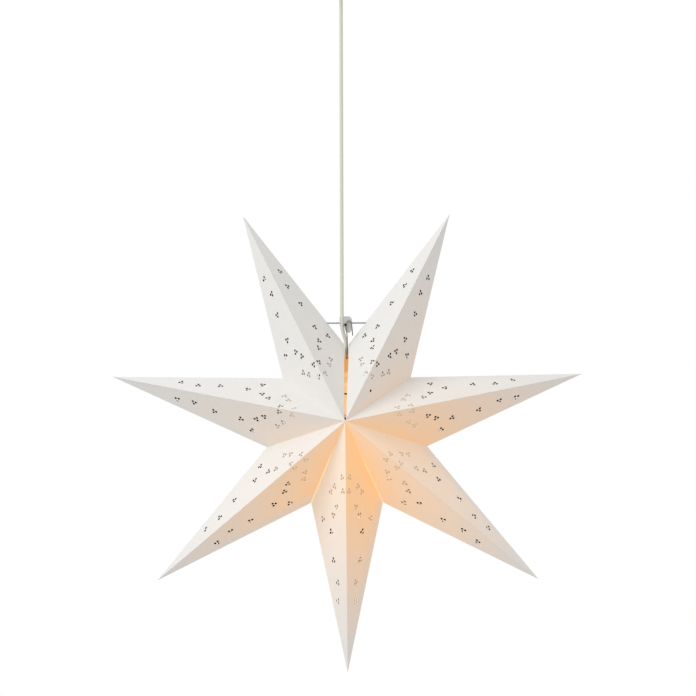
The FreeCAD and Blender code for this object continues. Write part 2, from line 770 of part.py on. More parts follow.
contact = turned(
    "bulb_contact",
    [
        ("0", "contact_top"),
        ("1.6", "contact_top"),
        ("2.4", "contact_top - 0.6"),
        ("2.4", "contact_top - end_button"),
        ("0", "contact_top - end_button"),
    ],
)
insulator = turned(
    "bulb_insulator",
    [
        ("0", "contact_top - end_button"),
        ("3", "contact_top - end_button"),
        ("shell_radius - 1", "shell_top"),
        ("0", "shell_top"),
    ],
)
shell = turned(
    "bulb_screw_shell",
    [
        ("0", "shell_top"),
        ("shell_radius - 0.6", "shell_top"),
        ("shell_radius", "shell_top - 0.6"),
        ("shell_radius", "shell_open"),
        ("shell_radius - shell_wall", "shell_open"),
        ("shell_radius - shell_wall", "shell_top - shell_wall"),
        ("0", "shell_top - shell_wall"),
    ],
)


def globe(name, shrink):
    """The outer form of the glass, or with a shrink its inner form: a ball, a flare and a neck."""
    ball = sphere(name + "_ball", f"globe_radius - {shrink}", ("0", "0", "globe_middle"))
    neck_radius = f"shell_radius - shell_wall - 0.1 - {shrink}"
    flare_from, flare_to = "globe_middle + globe_radius * cos(40deg)", "shell_open - 1"
    flare = cone(
        name + "_flare", f"globe_radius * sin(40deg) - {shrink}", neck_radius,
        f"{flare_to} - ({flare_from})", ("0", "0", flare_from),
    )
    neck = cylinder(name + "_neck", neck_radius, "6", ("0", "0", flare_to))
    return joined(name, ball, flare, neck)


glass = in_star(without("bulb_glass", globe("globe_outside", "0"), globe("globe_inside", "glass_wall")))

stem_end = "globe_middle + filament_length / 2 + 1.8"
stem_rim = "shell_radius - shell_wall - 0.2 - glass_wall"
stem = turned(
    "bulb_stem",
    [
        ("0", "shell_open + 4.5"),
        (stem_rim, "shell_open + 4.5"),
        (stem_rim, "shell_open + 3.5"),
        ("2.4", "shell_open - 2"),
        ("2", stem_end),
        ("0", stem_end),
    ],
)
wire_top, wire_low = f"{stem_end} - wire_gauge / 2", f"{stem_end} - filament_length - 1.5 * wire_gauge - 0.2"
filaments, wires = [], []
for number in range(4):
    angle = 90 * number + 45
    x = f"filament_ring * {math.cos(math.radians(angle)):.4f}"
    y = f"filament_ring * {math.sin(math.radians(angle)):.4f}"
    low = f"{stem_end} - wire_gauge - filament_length - 0.1"
    filaments.append(cylinder(f"filament_{number + 1}", "filament_gauge / 2", "filament_length", (x, y, low)))
for label, level in (("upper", wire_top), ("lower", wire_low)):
    for angle in (45, 135):
        spoke = cylinder(f"spoke_{label}_{angle}", "wire_gauge / 2", "2 * filament_ring + 1.2")
        turn = Rotation(front_turn, angle).multiply(Rotation(fold_hinge, 90))
        start = turn.multVec(Vector(0, 0, -1))
        spoke.Placement = Placement(Vector(), turn)
        half = "(filament_ring + 0.6)"
        place(spoke, (f"{start.x:.6f} * {half}", f"{start.y:.6f} * {half}", level))
        wires.append(spoke)
wires.append(cylinder("wire_post", "wire_gauge / 2", f"{wire_top} - ({wire_low})", ("0", "0", wire_low)))
bulb_filaments = in_star(together("bulb_filaments", *filaments))
bulb_wires = in_star(joined("filament_wires", *wires))

# ---------------------------------------------------------------- the canopy

canopy = turned(
    "canopy_cup",
    [
        ("canopy_radius", "-0.3"),
        ("canopy_narrow", "-canopy_height + canopy_bevel"),
        ("canopy_narrow - canopy_bevel", "-canopy_height"),
        ("spigot_radius + cap_play", "-canopy_height"),
        ("spigot_radius + cap_play", "-canopy_height + canopy_wall"),
        ("canopy_narrow - canopy_bevel - 1", "-canopy_height + canopy_wall"),
        ("canopy_narrow - canopy_wall", "-canopy_height + canopy_bevel + 1"),
        ("canopy_radius - canopy_wall", "-0.3"),
    ],
    ("0", "0", "0"),
)
collar_bore = "cord_gauge / 2 + collar_play"
collar_foot = "-canopy_height - flange_thick - collar_length"
collar = turned(
    "canopy_collar",
    [
        (collar_bore, "-canopy_height + 6"),
        ("spigot_radius", "-canopy_height + 6"),
        ("spigot_radius", "-canopy_height"),
        ("flange_radius", "-canopy_height"),
        ("flange_radius", "-canopy_height - flange_thick"),
        ("collar_radius", "-canopy_height - flange_thick"),
        ("collar_radius", f"{collar_foot} + 2"),
        ("collar_radius - 2", collar_foot),
        (collar_bore, collar_foot),
    ],
    ("0", "0", "0"),
)
lock_level = "-canopy_height - flange_thick - collar_length / 2"
lock_hole = circle(new_sketch(collar, "lock_hole", "XZ_Plane"), "0", lock_level, "lock_gauge + 0.1")
pocket(collar, "lock_bore", lock_hole, "collar_radius + 2")
lock = slotted_screw(
    "collar_lock_screw", "lock_gauge", "collar_radius - cord_gauge / 2 - collar_play - 0.2", "lock_gauge", "1",
    ("0", "cord_gauge / 2 + collar_play + 0.1", lock_level), ridge_tilt, "-90",
)

# ---------------------------------------------------------------- the ceiling strip, clamp and terminal block

bracket = new_body("ceiling_bracket")
plan = new_sketch(bracket, "strip_plan", "XY_Plane")
half_length, half_width = "strip_length / 2", "strip_width / 2"
polygon(
    plan,
    [
        (f"-{half_length}", f"-{half_width}"),
        (half_length, f"-{half_width}"),
        (half_length, half_width),
        (f"-{half_length}", half_width),
    ],
)
block_middle = "block_from + block_length / 2"
pad(bracket, "strip", plan, "strip_gauge", inward=True)
for side in ("-", ""):
    slot = new_sketch(bracket, "slot_left" if side else "slot_right", "XY_Plane")
    centre, reach = f"{side}slot_spacing / 2", "(slot_length - slot_width) / 2"
    ends = [Vector(value(f"{centre} + {way} * {reach}"), 0, 0) for way in (-1, 1)]
    bow = value("slot_width / 2")
    up = Vector(0, bow, 0)
    slot.addGeometry(Part.Arc(ends[0] + up, ends[0] - Vector(bow, 0, 0), ends[0] - up), False)
    slot.addGeometry(Part.LineSegment(ends[0] - up, ends[1] - up), False)
    slot.addGeometry(Part.Arc(ends[1] - up, ends[1] + Vector(bow, 0, 0), ends[1] + up), False)
    slot.addGeometry(Part.LineSegment(ends[1] + up, ends[0] + up), False)
    # An arc drawn through three points keeps its own sense, so each line joins the arc's nearer end.
    for line, mark, arc in ((1, 1, 0), (1, 2, 2), (3, 1, 2), (3, 2, 0)):
        spot = slot.getPoint(line, mark)
        end = min((1, 2), key=lambda choice: slot.getPoint(arc, choice).distanceToPoint(spot))
        slot.addConstraint(Sketcher.Constraint("Tangent", line, mark, arc, end))
    fix(slot, 0, 3, f"{centre} - {reach}", "0")
    fix(slot, 2, 3, f"{centre} + {reach}", "0")
    rule = slot.addConstraint(Sketcher.Constraint("Radius", 0, bow))
    slot.setExpression(f"Constraints[{rule}]", named("slot_width / 2"))
    pocket(bracket, "left_slot" if side else "right_slot", slot)
block_hole = circle(new_sketch(bracket, "block_hole", "XY_Plane"), block_middle, "0", "screw_gauge + 0.1")
pocket(bracket, "block_screw_hole", block_hole)
leg = new_sketch(bracket, "leg_outline", "YZ_Plane", height="-clamp_half")
polygon(
    leg,
    [
        ("-leg_width / 2", "-strip_gauge / 2"),
        ("leg_width / 2", "-strip_gauge / 2"),
        ("leg_width / 2", "-leg_length"),
        ("-leg_width / 2", "-leg_length"),
    ],
)
clamp_middle = "clamp_below + clamp_height / 2"
circle(leg, "screw_aside", f"-({clamp_middle})", "screw_gauge + 0.2")
pad(bracket, "leg", leg, "strip_gauge", inward=True)

clamp = new_body("cord_clamp")
clamp_plan = new_sketch(clamp, "clamp_plan", "XY_Plane", height="-clamp_below")
polygon(
    clamp_plan,
    [
        ("-clamp_half", "-clamp_width / 2"),
        ("clamp_half", "-clamp_width / 2"),
        ("clamp_half", "clamp_width / 2"),
        ("-clamp_half", "clamp_width / 2"),
    ],
)
circle(clamp_plan, "0", "0", "cord_gauge + 2 * cord_play")
pad(clamp, "clamp_block", clamp_plan, "clamp_height", inward=True)
clamp_hole = new_sketch(clamp, "clamp_hole", "YZ_Plane")
circle(clamp_hole, "screw_aside", f"-({clamp_middle})", "screw_gauge + 0.1")
pocket(clamp, "clamp_bore", clamp_hole)
clamp_screw = slotted_screw(
    "clamp_screw", "screw_gauge", "strip_gauge + 2 * clamp_half - 1", "screw_head", "screw_cap",
    ("clamp_half - 1", "screw_aside", f"-({clamp_middle})"), fold_hinge, "-90",
)

block = new_body("terminal_block")
block_plan = new_sketch(block, "block_plan", "XY_Plane", height="-strip_gauge")
polygon(
    block_plan,
    [
        ("block_from", "-block_width / 2"),
        ("block_from + block_length", "-block_width / 2"),
        ("block_from + block_length", "block_width / 2"),
        ("block_from", "block_width / 2"),
    ],
)
circle(block_plan, block_middle, "0", "screw_gauge + 0.2")
pad(block, "block_body", block_plan, "block_height", inward=True)
ways = new_sketch(block, "ways", "YZ_Plane")
wells = new_sketch(block, "wells", "XY_Plane", height="-strip_gauge - block_height")
way_level = "-strip_gauge - way_below"
well_spots = [
    (f"block_from + block_length * {share}", f"{side}way_pitch / 2") for share in (0.27, 0.73) for side in ("-", "")
]
for side in ("-", ""):
    circle(ways, f"{side}way_pitch / 2", way_level, "way_bore")
for x, y in well_spots:
    circle(wells, x, y, "well_bore")
pocket(block, "block_ways", ways)
pocket(block, "block_wells", wells, "block_height - way_below", forward=True)
head_recess = new_sketch(block, "head_recess", "XY_Plane", height="-strip_gauge - block_height")
pocket(block, "screw_recess", circle(head_recess, block_middle, "0", "screw_head + 0.4"), "screw_cap + 1", forward=True)
block_screw = slotted_screw(
    "block_screw", "screw_gauge", "strip_gauge + block_height - screw_cap - 1.1", "screw_head", "screw_cap",
    (block_middle, "0", "-0.1"), ridge_tilt, "180",
)
terminal_tip = f"{way_level} - core_gauge / 2 - 0.1"
terminals = []
for number, (x, y) in enumerate(well_spots, 1):
    terminals.append(
        slotted_screw(
            f"terminal_{number}", "terminal_gauge", "1.6", "terminal_gauge", "1",
            (x, y, terminal_tip), ridge_tilt, "180",
        )
    )
terminal_screws = together("terminal_screws", *terminals)
for name, side in (("conductor_brown", "-"), ("conductor_blue", "")):
    tube(
        name,
        [
            ("0", f"{side}core_pitch / 2", "0.15 - cord_start"),
            ("0.5", f"{side}(core_pitch / 2 + 0.3)", "-cord_start + 7"),
            ("block_from / 2", f"{side}(way_pitch / 2 - 0.6)", way_level),
            ("block_from - 1", f"{side}way_pitch / 2", way_level),
            ("block_from + block_length * 0.4", f"{side}way_pitch / 2", way_level),
        ],
        "core_gauge / 2",
    )

# ---------------------------------------------------------------- check and write

doc.recompute()
for thing in doc.Objects:
    if {"Invalid", "Error"} & set(thing.State):
        raise RuntimeError(f"{thing.Label} failed: {thing.getStatusString()}")

NODES = [f"star_point_{name}" for name in names]
NODES += ["slit_studs", "hanging_bar", "cord_clip", "tie_string", "supply_cord"]
NODES += ["holder_cap", "holder_skirt", "holder_insert", "threaded_sleeve", "centre_contact"]
NODES += ["holder_core_brown", "holder_core_blue"]
NODES += ["bulb_glass", "bulb_screw_shell", "bulb_insulator", "bulb_contact", "bulb_stem"]
NODES += ["bulb_filaments", "filament_wires"]
NODES += ["canopy_cup", "canopy_collar", "collar_lock_screw"]
NODES += ["ceiling_bracket", "cord_clamp", "clamp_screw", "terminal_block", "block_screw"]
NODES += ["terminal_screws", "conductor_brown", "conductor_blue"]

pieces = {}
for node in NODES:
    piece = doc.getObjectsByLabel(node)[0]
    shape = piece.Shape
    if shape.isNull() or not shape.isValid() or not shape.Solids:
        raise RuntimeError(f"{node} has no valid solid")
    pieces[node] = shape

os.makedirs("parts", exist_ok=True)
for node, shape in pieces.items():
    shape.exportStep(f"parts/{node}.step")
    print(f"{node}: {len(shape.Solids)} solid, {shape.Volume:.0f} mm3")
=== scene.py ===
"""The looks of a folded paper star pendant: lit paper, cord, hanging clip, lamp and ceiling fitting.

Metres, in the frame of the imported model: the origin is on the ceiling plane, on the axis of the cord, and the
front of the star faces -Y.
"""
import math

from types import SimpleNamespace

import bmesh
import bpy
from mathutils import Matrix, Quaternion, Vector


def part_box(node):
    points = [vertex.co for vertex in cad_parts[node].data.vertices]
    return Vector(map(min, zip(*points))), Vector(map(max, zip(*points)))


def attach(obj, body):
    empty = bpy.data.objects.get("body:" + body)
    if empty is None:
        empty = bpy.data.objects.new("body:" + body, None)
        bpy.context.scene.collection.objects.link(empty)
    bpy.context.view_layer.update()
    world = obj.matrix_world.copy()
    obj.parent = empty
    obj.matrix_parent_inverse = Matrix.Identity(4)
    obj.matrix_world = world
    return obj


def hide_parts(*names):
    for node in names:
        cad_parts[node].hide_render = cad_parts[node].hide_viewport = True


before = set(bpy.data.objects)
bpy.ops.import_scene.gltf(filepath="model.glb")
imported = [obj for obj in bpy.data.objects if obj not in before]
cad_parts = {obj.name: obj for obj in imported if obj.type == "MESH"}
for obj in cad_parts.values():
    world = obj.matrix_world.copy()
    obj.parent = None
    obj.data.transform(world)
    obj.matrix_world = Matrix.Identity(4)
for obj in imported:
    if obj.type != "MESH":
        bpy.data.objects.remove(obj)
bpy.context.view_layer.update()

bl_info = {
    "name": "Folded Star Pendant",
    "version": (1, 0, 0),
    "blender": (4, 5, 0),
    "location": "View3D > Sidebar > Star Pendant",
    "description": "Dresses a folded paper star pendant: paper, cord, lamp and ceiling fitting",
    "category": "Object",
}

STAR = Vector((0.0055, 0.0042, -0.620))
POINTS = 7
HALF_WEDGE = math.pi / POINTS
STAR_RADIUS = 0.300
NOTCH_RADIUS = 0.102
VALLEY = Vector((-NOTCH_RADIUS * math.sin(HALF_WEDGE), 0, NOTCH_RADIUS * math.cos(HALF_WEDGE)))
TIP = Vector((0, 0, STAR_RADIUS))
OUTER_EDGE = (TIP - VALLEY).normalized()
APEX = Vector((0, -0.085, 0))
FACE_LEAN = abs((TIP - APEX).cross(VALLEY - APEX).normalized().y)
MM = 0.001

# The bulb lights the star most at this side, and most of all the faces that look this way (x, depth, z).
LIT_SIDE = (0.342, 0.0, -0.940)
LIT_AIM = (0.643, 0.0, -0.766)

# The glued flap of a point, from the valley along the outer edge: it narrows from wide to narrow, then ends.
FLAP_START, FLAP_NARROWED, FLAP_END = 0.014, 0.131, 0.138
FLAP_WIDE, FLAP_NARROW = 0.013, 0.008

# The slit between the top points, the rims that lie in the star's middle plane, and the height at which the
# cord enters the star.
SLIT_HALF = 0.008
RIM_HALF = 0.003
CORD_ENTERS = -0.529

# The first is painted shade: the colour given to the inside of the star away from the bulb. The second is
# black, for no emitted light.
SHADED_INSIDE, BLACK = (0.02, 0.018, 0.016), (0.0, 0.0, 0.0)

# Faces that meet at less than this many degrees are shaded smooth.
ROUND_FORM = 60
MOULDED_FORM = 32


def at_star(x, y, z):
    """A spot given in millimetres from the centre of the star."""
    return STAR + Vector((x, y, z)) * MM


EYE = at_star(-1, -7.6, 129)
EYE_BACK = at_star(-1, 4.2, 129)
# Middle of the painted shadow of the lamp holder on the back of the inside, seen through the single hole.
HOLDER_SHADOW_MIDDLE = at_star(30, 55, 50)


# ---------------------------------------------------------------- settings


class StarPaperSettings(bpy.types.PropertyGroup):
    white: bpy.props.FloatVectorProperty(
        name="Paper White", description="Colour of the unlit paper", subtype="COLOR", size=3, min=0, max=1,
        default=(0.84, 0.845, 0.84),
    )
    warm: bpy.props.FloatVectorProperty(
        name="Warm Paper", description="Colour of the paper where the bulb shines through it",
        subtype="COLOR", size=3, min=0, max=1, default=(0.80, 0.51, 0.31),
    )
    glow: bpy.props.FloatVectorProperty(
        name="Glow", description="Light that comes through the paper", subtype="COLOR", size=3, min=0,
        max=1, default=(0.42, 0.22, 0.06),
    )
    # Painted light: the bulb's light on the inside of the star near it, given as an emitted colour.
    inside: bpy.props.FloatVectorProperty(
        name="Lit Inside", description="Colour of the inside near the bulb", subtype="COLOR", size=3, min=0,
        max=1, default=(0.40, 0.34, 0.27),
    )
    reach: bpy.props.FloatProperty(
        name="Glow Reach", description="Distance from the bulb at which the glow ends", default=0.31,
        min=0.05, unit="LENGTH",
    )
    fibre: bpy.props.FloatProperty(
        name="Fibre Size", description="Size of the grain of the paper", default=0.0011, min=0.0001,
        unit="LENGTH",
    )
    crease: bpy.props.FloatProperty(
        name="Crease Width", description="Half width of the folded ridges", default=0.0007, min=0.0001,
        unit="LENGTH",
    )


class CordSettings(bpy.types.PropertyGroup):
    diameter: bpy.props.FloatProperty(
        name="Cord Diameter", description="Diameter of the round cord", default=0.0046, min=0.002,
        unit="LENGTH",
    )
    colour: bpy.props.FloatVectorProperty(
        name="Sheath", description="Colour of the cord's sheath", subtype="COLOR", size=3, min=0, max=1,
        default=(0.70, 0.71, 0.62),
    )


class HangerSettings(bpy.types.PropertyGroup):
    clip: bpy.props.FloatVectorProperty(
        name="Clip", description="Colour of the cord clip", subtype="COLOR", size=3, min=0, max=1,
        default=(0.66, 0.66, 0.63),
    )
    string: bpy.props.FloatVectorProperty(
        name="String", description="Colour of the tie string", subtype="COLOR", size=3, min=0, max=1,
        default=(0.27, 0.265, 0.24),
    )
    edge: bpy.props.FloatProperty(
        name="Soft Edge", description="Rounding of moulded edges", default=0.0006, min=0.0001,
        unit="LENGTH",
    )
    lay: bpy.props.FloatProperty(
        name="Twist Length", description="Length of one full twist of the string", default=0.0045,
        min=0.001, unit="LENGTH",
    )


class LampSettings(bpy.types.PropertyGroup):
    plastic: bpy.props.FloatVectorProperty(
        name="Holder Plastic", description="Colour of the lamp holder", subtype="COLOR", size=3, min=0,
        max=1, default=(0.78, 0.77, 0.73),
    )
    thread_pitch: bpy.props.FloatProperty(
        name="Thread Pitch", description="Pitch of the small screw thread", default=0.00282, min=0.001,
        unit="LENGTH",
    )
    thread_depth: bpy.props.FloatProperty(
        name="Thread Depth", description="Depth of the rolled thread", default=0.00042, min=0.0001,
        unit="LENGTH",
    )
    ribs: bpy.props.IntProperty(
        name="Grip Ribs", description="Ribs round the cap of the holder", default=28, min=6, max=60,
    )
    filament_glow: bpy.props.FloatProperty(
        name="Filament Glow", description="Strength of the lit filaments", default=3.0, min=0,
    )


class CeilingSettings(bpy.types.PropertyGroup):
    plastic: bpy.props.FloatVectorProperty(
        name="Canopy Plastic", description="Colour of the canopy", subtype="COLOR", size=3, min=0, max=1,
        default=(0.80, 0.80, 0.78),
    )
    ribs: bpy.props.IntProperty(
        name="Collar Ribs", description="Ribs round the collar", default=18, min=6, max=40,
    )


class StageSettings(bpy.types.PropertyGroup):
    distance: bpy.props.FloatProperty(
        name="Camera Distance", description="From the centre of the star", default=2.0, min=0.5,
        unit="LENGTH",
    )
    frame_width: bpy.props.FloatProperty(
        name="Frame Width", description="Width of the picture at the star", default=0.864, min=0.1,
        unit="LENGTH",
    )
    azimuth: bpy.props.FloatProperty(
        name="Azimuth", description="Camera to the right of the front", default=math.radians(1.3),
        unit="ROTATION",
    )
    elevation: bpy.props.FloatProperty(
        name="Elevation", description="Camera above the star", default=math.radians(-6), unit="ROTATION",
    )
    roll: bpy.props.FloatProperty(
        name="Roll", description="Camera turned about its axis", default=math.radians(-0.2),
        unit="ROTATION",
    )
    key: bpy.props.FloatProperty(
        name="Key Light", description="Power of the soft light at the upper left", default=23, min=0,
        unit="POWER",
    )
    sky: bpy.props.FloatProperty(
        name="Room Light", description="Strength of the light from all round", default=0.73, min=0,
    )
    floor: bpy.props.FloatProperty(
        name="Floor", description="Level of the floor", default=-2.75, unit="LENGTH",
    )


SETTINGS = {
    "star_paper": StarPaperSettings,
    "star_cord": CordSettings,
    "star_hanger": HangerSettings,
    "star_lamp": LampSettings,
    "star_ceiling": CeilingSettings,
    "star_stage": StageSettings,
}


# ---------------------------------------------------------------- finishes


class Finish:
    """A material, with short ways to add its nodes."""

    def __init__(self, name, **sockets):
        self.material = bpy.data.materials.new(name)
        self.material.use_nodes = True
        self.nodes = self.material.node_tree.nodes
        self.links = self.material.node_tree.links
        self.shader = self.nodes["Principled BSDF"]
        for label, value in sockets.items():
            self.plug(self.shader.inputs[label.replace("_", " ")], value)
        self.spot = self.add("ShaderNodeTexCoord").outputs["Object"]

    def plug(self, socket, value):
        if isinstance(value, bpy.types.NodeSocket):
            self.links.new(value, socket)
        elif socket.type == "RGBA" and len(value) == 3:
            socket.default_value = (*value, 1)
        else:
            socket.default_value = value

    def add(self, kind, *values, **settings):
        node = self.nodes.new(kind)
        for name, value in settings.items():
            setattr(node, name, value)
        for number, value in enumerate(values):
            if value is not None:
                self.plug(node.inputs[number], value)
        return node

    def maths(self, operation, *values, clamp=False):
        return self.add("ShaderNodeMath", *values, operation=operation, use_clamp=clamp).outputs[0]

    def times(self, first, *others):
        for other in others:
            first = self.maths("MULTIPLY", first, other)
        return first

    def vector(self, operation, *values):
        node = self.add("ShaderNodeVectorMath", *values, operation=operation)
        return node.outputs["Value" if operation in ("DOT_PRODUCT", "LENGTH") else "Vector"]

    def split(self, vector):
        return self.add("ShaderNodeSeparateXYZ", vector).outputs

    def span(self, value, low, high, start=0.0, end=1.0):
        """A smooth step from start to end while value goes from low to high."""
        node = self.add("ShaderNodeMapRange", value, low, high, start, end, interpolation_type="SMOOTHSTEP")
        return node.outputs[0]

    def ramp(self, value, start, end=1.0):
        """A straight ramp from start to end while value goes from -1 to 1."""
        return self.add("ShaderNodeMapRange", value, -1.0, 1.0, start, end).outputs[0]

    def mix(self, factor, first, second, way="MIX"):
        node = self.add("ShaderNodeMix", data_type="RGBA", blend_type=way)
        for number, value in ((0, factor), (6, first), (7, second)):
            self.plug(node.inputs[number], value)
        return node.outputs[2]

    def noise(self, size, detail=2.0, stretch=None, roughness=0.5):
        """A cloud of spots of about this size in metres; stretch is their length along each axis."""
        spot = self.spot
        if stretch:
            spot = self.vector("MULTIPLY", spot, tuple(1 / part for part in stretch))
        node = self.add("ShaderNodeTexNoise")
        inputs = (("Vector", spot), ("Scale", 1 / size), ("Detail", detail), ("Roughness", roughness))
        for label, value in inputs:
            self.plug(node.inputs[label], value)
        return node.outputs[0]

    def bump(self, height, depth, below=None):
        node = self.add("ShaderNodeBump")
        for label, value in (("Height", height), ("Distance", depth), ("Normal", below)):
            if value is not None:
                self.plug(node.inputs[label], value)
        return node.outputs["Normal"]

    def rest(self, share):
        """What a share leaves of 1."""
        return self.maths("SUBTRACT", 1.0, share)

    def distance(self, spot):
        return self.vector("LENGTH", self.vector("SUBTRACT", self.spot, tuple(spot)))

    def flat(self, x, z):
        """The direction of x and z in the plane of the star."""
        return self.vector("NORMALIZE", self.add("ShaderNodeCombineXYZ", x, 0.0, z).outputs[0])

    def shades(self, factor, colour, dark, light):
        """A colour that goes from dark times to light times itself."""
        return self.mix(factor, shade(colour, dark), shade(colour, light))

    def colour(self, value):
        self.plug(self.shader.inputs["Base Color"], value)

    def emission(self, value, strength=1.0):
        self.plug(self.shader.inputs["Emission Color"], value)
        self.plug(self.shader.inputs["Emission Strength"], strength)

    def roughness(self, value):
        self.plug(self.shader.inputs["Roughness"], value)

    def normal(self, value):
        self.plug(self.shader.inputs["Normal"], value)


def shade(colour, factor):
    return tuple(min(1, part * factor) for part in colour)


def moulded(name, colour, roughness, **sockets):
    """Moulded plastic: faint flow clouds, a fine spark-eroded grain and uneven gloss."""
    f = Finish(name, **sockets)
    cloud = f.noise(0.018, 3)
    f.colour(f.shades(cloud, colour, 0.955, 1.03))
    fine = f.noise(0.0006, 2)
    f.roughness(f.span(f.noise(0.006, 2), 0.2, 0.8, roughness - 0.06, roughness + 0.08))
    f.normal(f.bump(fine, 0.00004, f.bump(cloud, 0.0003)))
    return f.material


def metal(name, colour, roughness, spangle=0.004, brush=(1, 1, 1)):
    """Plated or drawn metal: soft spangle, drawn lines along the long axis of brush, and dull patches."""
    f = Finish(name, Metallic=1.0)
    patch = f.noise(spangle, 3, roughness=0.6)
    lines = f.noise(0.0005, 2, stretch=brush)
    f.colour(f.shades(patch, colour, 0.86, 1.06))
    wear = f.maths("ADD", f.times(patch, 0.6), f.times(lines, 0.4))
    f.roughness(f.span(wear, 0.3, 0.7, roughness - 0.08, roughness + 0.12))
    f.normal(f.bump(lines, 0.00003))
    return f.material


def wedge_place(f):
    """Where a spot is in the star, and in its own point: across the ridge, along it and in from the seam."""
    away = f.vector("SUBTRACT", f.spot, tuple(STAR))
    x, depth, z = f.split(away)
    radius = f.maths("SQRT", f.maths("ADD", f.times(x, x), f.times(z, z)))
    around = f.maths("FRACT", f.times(f.maths("ARCTAN2", x, z), POINTS / math.tau))
    aside = f.times(f.maths("SUBTRACT", around, 0.5), math.tau / POINTS)
    from_seam = f.maths("SUBTRACT", HALF_WEDGE, f.maths("ABSOLUTE", aside))
    return SimpleNamespace(
        away=away, x=x, depth=depth, z=z, radius=radius,
        across=f.times(radius, f.maths("SINE", aside)),
        along=f.times(radius, f.maths("COSINE", aside)),
        to_seam=f.times(radius, f.maths("SINE", from_seam)),
    )


def flap_mask(f, place):
    """1 on the glued flap, which lies inside the front, along the outer edge on one side of each point; it sets
    where the light through the paper gets a painted shade.
    """
    own = f.add("ShaderNodeCombineXYZ", place.across, place.depth, place.along).outputs[0]
    from_valley = f.vector("SUBTRACT", own, tuple(VALLEY))
    edge_along = f.vector("DOT_PRODUCT", from_valley, tuple(OUTER_EDGE))
    length = f.vector("LENGTH", from_valley)
    edge_in_squared = f.maths("SUBTRACT", f.times(length, length), f.times(edge_along, edge_along))
    edge_in = f.maths("SQRT", f.maths("MAXIMUM", edge_in_squared, 0.0))
    taper = (FLAP_START, FLAP_NARROWED, FLAP_WIDE, FLAP_NARROW)
    width = f.add("ShaderNodeMapRange", edge_along, *taper).outputs[0]
    return f.times(
        f.span(f.maths("SUBTRACT", width, edge_in), -0.0004, 0.0004),
        f.maths("LESS_THAN", place.across, 0.0),
        f.maths("LESS_THAN", place.depth, 0.0),
        f.maths("LESS_THAN", edge_along, FLAP_END),
    )


def paper_faces(f, place):
    """How far a face looks sideways, its direction on the flat, and 1 where it looks away from the bulb.

    Inner faces and the walls of the punched holes count as looking at the bulb, so they take the painted light
    and painted shade of the inside.
    """
    face = f.add("ShaderNodeVectorTransform", f.add("ShaderNodeNewGeometry").outputs["True Normal"],
                 vector_type="NORMAL", convert_from="WORLD", convert_to="OBJECT").outputs[0]
    face_x, face_y, face_z = f.split(face)
    sideways = f.maths("ABSOLUTE", face_x)
    flat_on = f.maths("COMPARE", f.maths("ABSOLUTE", face_y), FACE_LEAN, 0.02)
    off_rim = f.maths("GREATER_THAN", f.maths("ABSOLUTE", place.depth), RIM_HALF)
    hole_wall = f.times(f.rest(flat_on), off_rim)
    looks_out = f.span(f.vector("DOT_PRODUCT", face, f.vector("NORMALIZE", place.away)), -0.02, 0.02)
    return sideways, f.flat(face_x, face_z), f.times(looks_out, f.rest(hole_wall))


